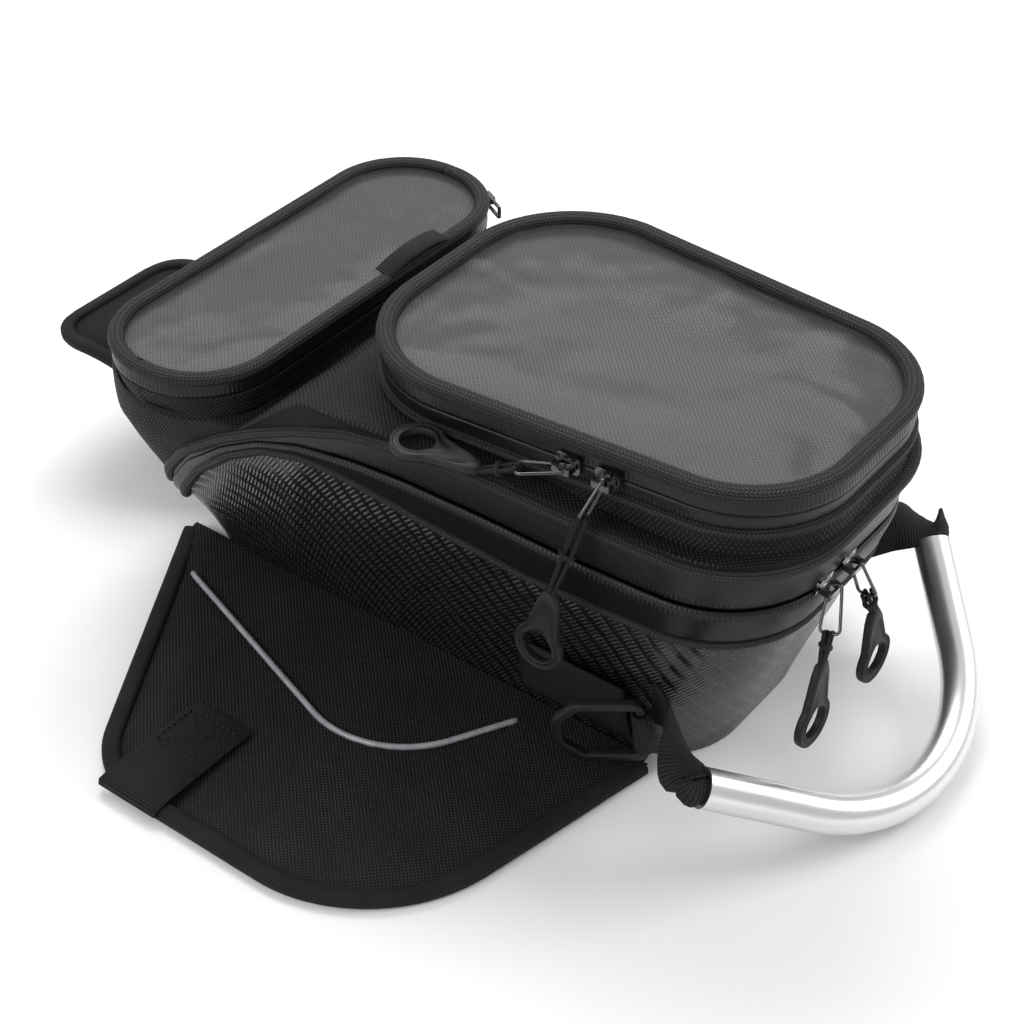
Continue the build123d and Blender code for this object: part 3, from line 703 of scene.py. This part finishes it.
HALF_GAP = 0.25  # from the middle of a zipper to the edge of each tape
BANDED = (Z_UPPER - Z_LOWER) > 1.0
for name, body, low, high, node in (
    ("zip_tape_lower_skin", "bag", Z_LOWER, Z_MIDDLE - HALF_GAP, "main_zip_tape_lower"),
    ("zip_tape_upper_skin", "lid", Z_MIDDLE + HALF_GAP, Z_UPPER, "main_zip_tape_upper"),
):
    rows = []
    for share in np.linspace(0, 1, 9):
        points = hull_at(low + (high - low) * share)
        lean = share if body == "bag" else 1 - share
        rise = 0.3 + 1.3 * sin(lean * pi * 0.5) - 1.0 * max(0.0, (lean - 0.9) / 0.1)
        rows.append(points + outward(points) * rise)
    rows = open_strip(np.array(rows), BANDED)
    if body == "bag":
        rows = rows[::-1]
    place(grid_piece(name, rows, TAPE, thickness=1.6), body, "zip_tape", node)


def band_pipe(name, heights, body, node):
    points = hull_at(heights)
    path = open_strip((points + outward(points) * 0.4)[None], BANDED)[0]
    piece = tube_piece(name, path, 2.9, 2.9, PIPE_CLOTH, sides=14)
    place(piece, body, "piping", node)


band_pipe("main_pipe_lower", Z_LOWER - 1.8, "bag", "main_piping_lower")
band_pipe("main_pipe_upper", np.minimum(Z_UPPER + 2.3, Z_TOP - 0.2), "lid", "main_piping_upper")

LID_ROWS = 14
side_rows = strip(Z_UPPER + 0.4, Z_TOP, LID_ROWS, 0.4)
side_rows = wrinkled(side_rows, 30, 1.4, 5, calm=edge_calm(LID_ROWS))

rim = hull_at(Z_TOP)
scales = np.linspace(0.985, 0.0, 27)
lid_top = []
for scale in scales:  # rings from the rim in to the bag's middle line
    centre = np.column_stack([rim[:, 0] * 0, np.clip(rim[:, 1], 60, 230)])
    ring = centre + (rim[:, :2] - centre) * scale
    lid_top.append(at_height(ring, height_on(TOP_LINE, ring) + 0.5))
lid_top = np.array(lid_top)
lid_top[:, :, 2] += ripple(lid_top, 30.0, 2.0, 7) * np.clip((1 - scales) * 8, 0, 1)[:, None]
lid = join("lid_skin", [
    grid_piece("lid_side", side_rows, BODY_CLOTH, closed=True, thickness=1.6),
    grid_piece("lid_top", np.concatenate([rim[None], lid_top]), BODY_CLOTH, closed=True, flat_map=True,
               thickness=1.6),
])
place(lid, "lid", "shell_fabric", "lid_shell")

recolor("base_panel", BODY_CLOTH)
recolor("base_board", BOARD)


# ---- pockets ----
def pocket_wall(name, body, node, shape, low, high, slot, material, bulge, rows=8, wrinkle=0.0, seed=0):
    """A wall between two height lines that follows a pocket's plan."""
    levels = np.array([at_height(grown(loop(*shape), bulge(share)), low + (high - low) * share)
                       for share in np.linspace(0, 1, rows)])
    if wrinkle:
        calm = edge_calm(rows, 0.25)
        levels = wrinkled(levels, 16, wrinkle, seed, (1, 1, 1.4), crests=wrinkle * 0.6, calm=calm)
    piece = grid_piece(name, levels, material, closed=True, thickness=1.5)
    place(piece, body, slot, node)


def pocket_pipe(name, body, node, shape, grow, height, half_width, half_height, power=2.0):
    path = at_height(grown(loop(*shape), grow), height)
    piece = tube_piece(name, path, half_width, half_height, PIPE_CLOTH, closed=True, power=power)
    place(piece, body, "piping", node)


def outline_area(shape):
    """Area of a plan in square metres."""
    flat = loop(*shape) * MM
    after = np.roll(flat, -1, 0)
    return float(abs((flat[:, 0] * after[:, 1] - after[:, 0] * flat[:, 1]).sum()) / 2)


def filled_rim(name, body, slot, node, shape, inset, height, crown, material, seed, amount, crests):
    """A sheet that fills a pocket's rim, slack and wrinkled towards its edge."""
    outline = evenly(grown(loop(*shape), -inset), 420)
    centre_y = (shape[2] + shape[3]) / 2
    core = np.column_stack([outline[:, 0] * 0.25, centre_y + (outline[:, 1] - centre_y) * 0.25])
    scales = np.concatenate([np.linspace(1, 0.6, 30), np.linspace(0.58, 0.03, 22)])
    rows = np.array([at_height(core * (1 - scale) + outline * scale, height + crown * (1 - scale**4))
                     for scale in scales])
    hold = np.clip((1 - scales) * 9, 0, 1) * np.clip(0.35 + scales, 0, 1)
    wave = ripple(rows, 34, amount, seed) + ripple(rows, 13, amount * 0.35, seed + 1)
    wave = wave + folds(rows, 55, crests, seed + 2, (1, 0.5, 1)) * np.clip(scales * 2 - 0.9, 0, 1)[:, None]
    rows[:, :, 2] += wave * hold[:, None]
    sheet = grid_piece(name, rows, material, closed=True, flat_map=True, cap=True)
    place(sheet, body, slot, node)
    outline_area(shape)


gusset_foot = height_on(TOP_LINE, loop(*MAP)) - 0.4
pocket_wall(
    "map_gusset_skin", "lid", "map_gusset", MAP, gusset_foot, MAP_LOW - 1.5, "mesh_fabric", BODY_CLOTH,
    lambda share: -1.2 * sin(pi * share), 9, 1.0, 11,
)
pocket_wall(
    "map_tape_lower_skin", "lid", "map_wall_lower", MAP, MAP_LOW - 0.6, MAP_SPLIT - HALF_GAP, "zip_tape",
    MAP_TAPE, lambda share: 0.4 + 1.1 * share, 7,
)
pocket_wall(
    "map_tape_upper_skin", "map_lid", "map_wall_upper", MAP, MAP_SPLIT + HALF_GAP, MAP_RIM + 1, "zip_tape",
    MAP_TAPE, lambda share: 1.5 - 0.9 * share, 7,
)
pocket_pipe("map_pipe_lower", "lid", "map_piping_lower", MAP, 0.4, MAP_LOW - 1.6, 2.3, 2.2)
pocket_pipe("map_pipe_upper", "map_lid", "map_piping_upper", MAP, -1.5, MAP_TOP - 3.0, 4.4, 3.2, 2.4)
filled_rim("map_window_sheet", "map_lid", "clear_window", "map_window", MAP,
           3.2, MAP_TOP - 3.4, 1.6, CLEAR, 21, 1.1, 0.9)
filled_rim("map_liner_sheet", "map_lid", "liner_fabric", "map_liner", MAP,
           3.0, MAP_RIM - 1.5, 0.0, LINER, 31, 1.0, 0.0)

pocket_wall(
    "front_wall_lower_skin", "lid", "front_wall_lower", FRONT, FRONT_FLOOR - 0.5, FRONT_SPLIT - HALF_GAP,
    "shell_fabric", BODY_CLOTH, lambda share: 0.3 + 1.4 * share - 2.0 * sin(pi * share) * (1 - share),
    9, 0.9, 13,
)
pocket_wall(
    "front_wall_upper_skin", "front_lid", "front_wall_upper", FRONT, FRONT_SPLIT + HALF_GAP, FRONT_RIM + 0.6,
    "zip_tape", MAP_TAPE, lambda share: 1.7 - 1.1 * share, 7,
)
pocket_pipe("front_pipe", "front_lid", "front_piping", FRONT, -1.2, FRONT_TOP - 2.8, 3.9, 2.9, 2.4)
filled_rim("front_window_sheet", "front_lid", "clear_window", "front_window", FRONT,
           3.0, FRONT_TOP - 3.2, 1.4, CLEAR, 41, 0.8, 0.4)
filled_rim("front_liner_sheet", "front_lid", "liner_fabric", "front_liner", FRONT,
           3.0, FRONT_RIM - 1.5, 0.3, LINER, 51, 0.9, 0.0)
recolor("front_pocket_base", BODY_CLOTH)


# ---- wings ----
def wing_edge(side, inset, step=3.0):
    """The wing's outline from its rear root round its tip to its front root."""
    corners = [
        (side * WING_ROOT, 17 + inset),
        (side * (WING_TIP - inset), 50 + inset),
        (side * (WING_TIP - inset), 217 - inset),
        (side * WING_ROOT, 304 - 1.15 * inset),
    ]
    return round_path(corners, (80 - inset, 50 - inset), step)


def ribbon(name, path, side_ways, width, thickness, material):
    """A flat strap along a path; side_ways points across it at each point."""
    path = np.array(path, float)
    run = unit(np.gradient(path, axis=0))
    side_ways = square_to(np.array(side_ways, float), run)
    normal = np.cross(run, side_ways)
    half = width / 2
    profile = [(-half, 0), (-half + 0.4, 0.5), (0, 0.5), (half - 0.4, 0.5), (half, 0), (half - 0.4, -0.5),
               (0, -0.5), (-half + 0.4, -0.5)]
    rows = np.array([path + side_ways * wide + normal * high * thickness for wide, high in profile])
    return grid_piece(name, np.concatenate([rows, rows[:1]]), material)


def wing(side, name):
    body = f"wing_{name}"
    edge = wing_edge(side, 4.0)
    count = len(edge)
    root = np.column_stack([np.full(count, side * WING_HEM), np.linspace(edge[0][1], edge[-1][1], count)])
    shares = np.linspace(0, 1, 60)
    lines = [root * (1 - share) + edge * share for share in shares]
    top = np.array([at_height(line, 2.6 + 2.2 * (1 - share**6)) for line, share in zip(lines, shares)])
    bottom = np.array([at_height(line, 0.5) for line in lines])
    calm = np.clip((1 - shares) * 8, 0, 1) * np.clip(shares * 6 + 0.2, 0, 1)
    pull = ripple(top, 46, 1.4, 61 + side, (0.55, 1, 1)) + folds(top, 60, 0.8, 65 + side, (0.5, 1, 1))
    top[:, :, 2] += pull * calm[:, None]
    # the seam under the reflective cord draws the cloth in
    cord_path = wing_cord_path(side)
    flat = top[:, :, :2].reshape(-1, 2)
    near = np.sqrt(((flat[:, None] - cord_path[None, ::3, :2]) ** 2).sum(2)).min(1).reshape(top.shape[:2])
    top[:, :, 2] -= 1.1 * np.exp(-((near / 3.5) ** 2))
    rows = np.concatenate([top, bottom[::-1]])
    if side > 0:
        rows = rows[::-1]
    pad = grid_piece(f"wing_cloth_{name}", rows, WING_CLOTH, flat_map=True)
    place(pad, body, "wing_fabric", f"wing_pad_{name}", f"wing_magnets_{name}")

    border = at_height(wing_edge(side, 4.3), 3.1)
    border[:, 2] += ripple(border, 30, 0.25, 71)
    tape = tube_piece(f"wing_edge_tape_{name}", border, 4.4, 2.9, EDGE_TAPE, power=3.2, sides=20)
    place(tape, body, "binding", f"wing_binding_{name}")
    place(tube_piece(f"wing_cord_{name}", cord_path, 1.5, 1.5, REFLECTIVE), body, "reflective",
          f"wing_reflective_{name}")

    tab_path = [(side * x, WING_TAB, z) for x, z in
                ((160, 6.2), (166, 6.9), (178, 7.1), (192, 7.2), (206, 7.4), (216, 7.5), (222.4, 6.6),
                 (222.8, 4.6), (220.5, 3.2))]
    tab = ribbon(f"wing_tab_strap_{name}", tab_path, [(0, 1, 0)] * len(tab_path), 35, 1.5, WEB)
    stitches = box_stitch((side * 178, WING_TAB, 8.1), (12, 14))
    tab = join(f"wing_tab_strap_{name}", [tab, stitches])
    place(tab, body, "webbing", f"wing_tab_{name}")


def wing_cord_path(side):
    flat = round_path([(side * 94, 273), (side * 146, 119), (side * 80, 82)], (52,), 3.0)
    return at_height(flat, 5.6)


def box_stitch(centre, halves):
    """A square of stitches with a cross in it."""
    x, y, z = centre
    a, b = halves
    corners = [(-a, -b), (a, -b), (a, b), (-a, b), (-a, -b), (a, b), (-a, b), (a, -b)]
    pieces = []
    for (x0, y0), (x1, y1) in zip(corners, corners[1:]):
        length = np.hypot(x1 - x0, y1 - y0)
        count = max(2, int(length / 3.2))
        for k in range(count):
            start, end = (k + 0.15) / count, (k + 0.85) / count
            path = [(x + x0 + (x1 - x0) * s, y + y0 + (y1 - y0) * s, z + h)
                    for s, h in ((start, -0.35), ((start + end) / 2, 0.1), (end, -0.35))]
            pieces.append(tube_piece("stitch", path, 0.32, 0.28, CORD, sides=6))
    return join("stitches", pieces)


wing(-1, "left")
wing(1, "right")


# ---- front flap ----
FLAP_RADIUS = FLAP_LENGTH / (FLAP_ANGLES[0] - FLAP_ANGLES[1])


def flap_point(distance, rise):
    angle = FLAP_ANGLES[0] - distance / FLAP_RADIUS
    forward = FLAP_ROOT + FLAP_RADIUS * (sin(FLAP_ANGLES[0]) - sin(angle))
    height = FLAP_ROOT_HEIGHT + FLAP_RADIUS * (cos(angle) - cos(FLAP_ANGLES[0]))
    return forward - rise * sin(angle), height + rise * cos(angle)


def flap_half(distance, inset):
    """Half width of the flap: a tongue that widens to a tip with rounded corners."""
    forward = flap_point(distance, 0)[0]
    tip = flap_point(FLAP_LENGTH, 0)[0]
    share = (forward - FLAP_BACK) / (tip - FLAP_BACK)
    half = FLAP_HALVES[0] + (FLAP_HALVES[1] - FLAP_HALVES[0]) * share - inset
    radius = FLAP_CORNER - inset
    past = forward - (tip - FLAP_CORNER)
    if past > 0:
        half -= radius - np.sqrt(max(radius**2 - min(past, radius) ** 2, 0.0))
    return half


def flap_stops(inset, body_count, tip_count):
    """Distances along the flap, closer together round its tip."""
    body = np.linspace(0, FLAP_LENGTH - 40, body_count)
    return np.concatenate([body, np.linspace(FLAP_LENGTH - 38, FLAP_LENGTH - inset, tip_count)])


def flap():
    inset = 3.6
    stops = flap_stops(inset, 30, 26)
    rows = []
    shares = np.linspace(-1, 1, 41)
    for rise, order in ((1.0, 1), (0.0, -1)):
        for share in shares[::order]:
            line = []
            for stop in stops:
                half = flap_half(stop, inset)
                ends = 1 - (stop / FLAP_LENGTH) ** 12
                puff = 1.2 + (FLAP_THICKNESS - 0.8) * (1 - abs(share) ** 5) * ends
                y, z = flap_point(stop, 0.4 + rise * puff)
                line.append((share * half, y, z))
            rows.append(line)
    rows = np.array(rows)
    upper = rows[:len(shares)]
    crease = ripple(upper, 55, 2.0, 81, (0.4, 1, 1)) * (1 - np.abs(shares) ** 4)[:, None]
    upper[:, :, 2] += crease
    rows = np.concatenate([upper, rows[len(shares):], upper[:1]])
    pad = grid_piece("flap_cloth", rows, FLAP_CLOTH)
    place(pad, "front_flap", "wing_fabric", "flap_pad", "flap_magnets")

    path, above = [], []
    side_stops = flap_stops(inset, 26, 30)
    for side, order in ((-1, 1), (1, -1)):
        for stop in side_stops[::order]:
            y, z = flap_point(stop, FLAP_THICKNESS / 2)
            path.append((side * flap_half(stop, inset), y, z))
            low, high = flap_point(stop, 0), flap_point(stop, 1)
            above.append((0, high[0] - low[0], high[1] - low[1]))
    tape = tube_piece("flap_edge_tape", path, 3.8, 3.0, EDGE_TAPE, up=above, power=3.0, sides=18)
    place(tape, "front_flap", "binding", "flap_binding")


flap()


# ---- handle ----
recolor("handle_tube", TUBE_METAL)


def smooth_through(points, count):
    """A smooth path through points, by Catmull-Rom."""
    points = np.array(points, float)
    padded = np.vstack([2 * points[0] - points[1], points, 2 * points[-1] - points[-2]])
    out = []
    for k in range(len(points) - 1):
        a, b, c, d = padded[k:k + 4]
        for t in np.linspace(0, 1, count, endpoint=False):
            out.append(0.5 * (2 * b + (c - a) * t + (2 * a - 5 * b + 4 * c - d) * t**2
                              + (3 * b - a - 3 * c + d) * t**3))
    out.append(points[-1])
    return np.array(out)


STRAP_HALF = 11.5
STRAP_FLAT, STRAP_FOLD = 0.06, 2.3  # how far its width curls, in radians: at the bag, and added at the tube


def handle_strap(side, name):
    """A strap that leaves the rear corner, twists and is folded into the tube's mouth."""
    x, y, z = TUBE_MOUTH
    inward = np.array([side * TUBE_INWARD.x, TUBE_INWARD.y, TUBE_INWARD.z])
    mouth = np.array([side * x, y, z])
    hold = np.array([side, 1, 1])
    ways = [hold * (62.5, 24, 38), hold * (68, 12, 46), hold * (79, -2, 52), hold * (92, -13, 55.5),
            mouth - inward * 8 + (0, 0, 1.5), mouth - inward * 1.0, mouth + inward * 8, mouth + inward * 15]
    path = smooth_through(ways, 8)
    shares = np.linspace(0, 1, len(path))
    run = unit(np.gradient(path, axis=0))
    wall = np.array([0.1 * side, 0.25, 1.0])
    level = np.array([-side * 0.6, 1.0, 0.3])
    turn = np.clip(shares * 1.9, 0, 1)[:, None]
    sideways = square_to(wall * (1 - turn) + level * turn, run)
    normal = np.cross(run, sideways)
    normal *= np.sign(normal[:, 2:3] + 1e-6)
    fold = np.clip((shares - 0.4) / 0.36, 0, 1)
    bend = STRAP_FLAT + fold * fold * (3 - 2 * fold) * STRAP_FOLD
    reach = STRAP_HALF / bend
    rows = []
    for wide in np.linspace(-1, 1, 25):
        across = reach * np.sin(wide * bend)
        drop = 0.45 * (bend - STRAP_FLAT) / STRAP_FOLD * STRAP_HALF
        lift = reach * (1 - np.cos(wide * bend)) - drop
        rows.append(path + sideways * across[:, None] - normal * lift[:, None])
    strap = grid_piece(f"handle_strap_cloth_{name}", np.array(rows), WEB)
    thicken(strap, 1.6, 0)
    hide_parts(f"handle_strap_{name}")
    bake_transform(strap)


handle_strap(-1, "left")
handle_strap(1, "right")


# ---- D-rings ----
RING_CENTRE, RING_HEIGHT_AT, RING_LIFT, RING_BAR = 36.0, 34.0, 2.2, 4.5
RING_HALF, RING_TALL, RING_CUT = 21.0, 20.0, 11.0
RING_SWING = radians(32)


def side_point(side, distance, height, lift):
    """A point beside the bag: distance forward, height up the leaning wall, lift away from it."""
    out = np.array([side * cos(SIDE_LEAN), 0, -sin(SIDE_LEAN)])
    foot = np.array([side * (SIDE_FOOT + RING_HEIGHT_AT * np.tan(SIDE_LEAN)), 0, RING_HEIGHT_AT])
    slope = np.array([side * sin(SIDE_LEAN), 0, cos(SIDE_LEAN)])
    return foot + slope * (height - RING_HEIGHT_AT) + np.array([0, distance, 0]) + out * lift


def d_ring(side, name):
    """A moulded ring that stands swung out from the wall about its rear bar."""
    half, tall = RING_HALF - RING_BAR / 2, RING_TALL - RING_BAR / 2
    cut = RING_CUT - 1
    corners = [(-half, 0), (-half, tall), (half - cut, tall), (half, tall - cut), (half, -tall + cut),
               (half - cut, -tall), (-half, -tall), (-half, 0)]
    flat = round_path(corners, (3, 5, 5, 5, 5, 3), 1.5)[:-1]
    out = side_point(side, 0, 0, 1) - side_point(side, 0, 0, 0)
    ahead = np.array([0, cos(RING_SWING), 0]) + out * sin(RING_SWING)
    bar = side_point(side, RING_CENTRE - half, 0, RING_LIFT + RING_BAR / 2)
    rise = side_point(side, 0, 1, 0) - side_point(side, 0, 0, 0)
    path = [bar + ahead * (x + half) + rise * (RING_HEIGHT_AT + h) for x, h in flat]
    face = np.cross(rise, ahead)
    ring = tube_piece(
        f"d_ring_frame_{name}", path, 2.25, 2.2, PLASTIC, closed=True, up=face, power=4.5, sides=20
    )
    place(ring, f"d_ring_{name}", "ring_plastic", f"d_ring_{name}")


def ring_webbing():
    patches, loops = [], []
    for side in (-1, 1):
        rows = []
        for height in np.linspace(RING_HEIGHT_AT - 17.5, RING_HEIGHT_AT + 17.5, 9):
            rows.append([side_point(side, distance, height, 0.9) for distance in np.linspace(28, 86, 14)])
        if side > 0:
            rows = rows[::-1]
        patches.append(grid_piece("patch", rows, WEB, thickness=1.3))
        bar = RING_CENTRE - RING_HALF + RING_BAR / 2
        rows = []
        for turn in np.linspace(-150, 150, 22):
            angle = radians(turn)
            rise, run = 4.5 * cos(angle), 4.5 * sin(angle)
            lift = RING_LIFT + RING_BAR / 2 + rise
            rows.append([side_point(side, bar + run, h, max(lift, 0.2))
                         for h in np.linspace(RING_HEIGHT_AT - 12.5, RING_HEIGHT_AT + 12.5, 8)])
        loops.append(grid_piece("loop", rows, SIDE_WEB, thickness=1.5))
    place(join("ring_patch_webbing", patches), "bag", "webbing", "ring_patches")
    place(join("ring_loop_webbing", loops), "bag", "webbing", "ring_loops")


d_ring(-1, "left")
d_ring(1, "right")
ring_webbing()


# ---- zipper pulls ----
def node_middle(node):
    low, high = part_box(node)
    return np.array((low + high) / 2) / MM - (0, REAR_EDGE, 0)


def bail(name, body, start, run, plane, length, half, node):
    """A wire bail, wider at its far end."""
    run = unit(run)
    plane = square_to(plane, run)
    corners = [(0, 0), (0, half), (length, half * 1.6), (length, -half * 1.6), (0, -half), (0, 0)]
    flat = round_path(corners, (1.2, 2.0, 2.0, 1.2), 0.8)[:-1]
    path = [start + run * x + plane * y for x, y in flat]
    up = np.cross(run, plane)
    wire = tube_piece(name, path, 0.75, 0.75, BLACK_METAL, closed=True, up=up, sides=10)
    place(wire, body, "slider_metal", node)


def cords(name, body, start, end, across, node):
    """Four strands between a bail and its rubber pull, with a knot."""
    run = unit(end - start)
    across = square_to(across, run)
    depth = np.cross(run, across)
    length = np.linalg.norm(end - start)
    pieces = []
    for wide, deep in ((-2.4, -0.7), (-0.9, 0.8), (0.9, -0.8), (2.4, 0.7)):
        path = smooth_through([
            start + across * wide * 0.8 + depth * deep * 1.6 - run * 0.5,
            start + run * length * 0.35 + across * wide + depth * deep,
            start + run * length * 0.7 + across * wide * 0.8 + depth * deep,
            end + run * 1.5 + across * wide * 0.5 + depth * deep * 0.5,
        ], 6)
        pieces.append(tube_piece("strand", path, 0.95, 0.95, CORD, sides=8))
    knot = []
    for turn in np.linspace(0, 2 * pi, 20, endpoint=False):
        along = run * (length * 0.5 + 0.6 * sin(turn))
        knot.append(start + along + across * 3.0 * cos(turn) + depth * 1.9 * sin(turn))
    pieces.append(tube_piece("knot", knot, 1.2, 1.2, CORD, closed=True, up=run, sides=8))
    place(join(name, pieces), body, "pull_cord", node)


def rubber_pull(name, body, start, run, facing, node):
    """A finger pull: a tapered neck and a ring with raised rims."""
    run = unit(run)
    facing = square_to(facing, run)
    across = np.cross(facing, run)
    ring_at, outer, inner = 33.0, 12.0, 7.6
    outline, hole = [], []
    for turn in np.linspace(0, 2 * pi, 72, endpoint=False):
        direction = np.array([-cos(turn), sin(turn)])
        reach = outer
        # the neck: walk out along the direction until past the taper
        if direction[0] < -0.45:
            for far in np.linspace(outer, ring_at, 60):
                x, y = -direction[0] * far, abs(direction[1]) * far
                if y <= 10.5 - 6.4 * min(x / ring_at, 1) ** 0.8 and x <= ring_at - 0.2:
                    reach = far
            reach = max(reach, outer)
        outline.append(direction * reach)
        hole.append(direction * inner)
    outline, hole = np.array(outline), np.array(hole)

    # its section: the share of the way from the rim in to the hole, and the height there
    section = ((0.0, -1.0), (0.0, 1.0), (0.06, 1.8), (0.2, 2.1), (0.3, 1.5), (0.7, 1.5), (0.8, 2.1),
               (0.94, 1.8), (1.0, 1.1), (1.0, -1.1), (0.94, -1.8), (0.06, -1.8), (0.0, -1.0))
    rows = []
    for share, height in section:
        flat = outline * (1 - share) + hole * share
        rows.append([start + run * (ring_at + x) + across * y + facing * height for x, y in flat])
    place(grid_piece(name, rows, RUBBER, closed=True), body, "pull_rubber", node)


WIRE_TAIL = 2.4  # how far a hooked bail reaches back through its slider
PULLERS = {
    # what each puller's bail, cord and pull run through, from the slider outward
    "main_left": ((-27, -42.4, 112.4), (-37, -47.2, 98), (-43, -48.9, 88.5), (-47.2, -48.9, 42),
                  (0.0, -1.0, 0.0)),
    "main_right": ((-8, -42.4, 112.4), (-4.3, -47.0, 97), (0, -48.9, 86.5), (9.2, -48.9, 40),
                   (0.0, -1.0, 0.0)),
    "map_front": ((-81.4, 57, 163), (-90, 75, 160.5), (-94, 90, 154.6), (-95, 136, 154.2), (0.0, 0.0, 1.0)),
    "map_rear": ((-81.5, 38, 164), (-90, 41.5, 150.5), (-99, 50, 113), (-99.5, 59, 63), (-1.0, 0.0, 0.0)),
}
for name, (hook, bail_end, cord_end, pull_end, facing) in PULLERS.items():
    hook, bail_end, cord_end, pull_end = (np.array(p, float) for p in (hook, bail_end, cord_end, pull_end))
    facing, body = np.array(facing), f"{name}_puller"
    run = bail_end - hook
    length = np.linalg.norm(run)
    way = unit(run)
    start, plane = hook, np.cross(facing, run)
    if name != "map_front":
        start = hook - way * WIRE_TAIL + square_to(facing, way) * 0.4
        plane, length = facing, length + WIRE_TAIL
    bail(f"{name}_wire", body, start, run, plane, length, 2.9, f"{name}_bail")
    cords(f"{name}_strands", body, bail_end - way * 0.6, cord_end, np.cross(facing, way), f"{name}_cord")
    reach = pull_end - cord_end
    rubber_pull(f"{name}_finger_pull", body, cord_end + reach * 0.006, reach, facing, f"{name}_pull")
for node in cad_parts:
    if node.endswith("_slider") or node == "front_pocket_bail":
        recolor(node, BLACK_METAL)

# the small ribbed tab on the front pocket's rear edge
tab_at = node_middle("front_pocket_tab")
tab_path = smooth_through([tab_at + (-22, -1, -1.0), tab_at + (-12, -2, 2.2), tab_at + (0, -2.5, 3.4),
                           tab_at + (12, -2, 2.2), tab_at + (22, -1, -1.0)], 6)
tab = ribbon("front_pocket_pull_tab", tab_path, [(0, 1, 0.15)] * len(tab_path), 10, 1.4, WEB)
place(tab, "front_lid", "webbing", "front_pocket_tab")
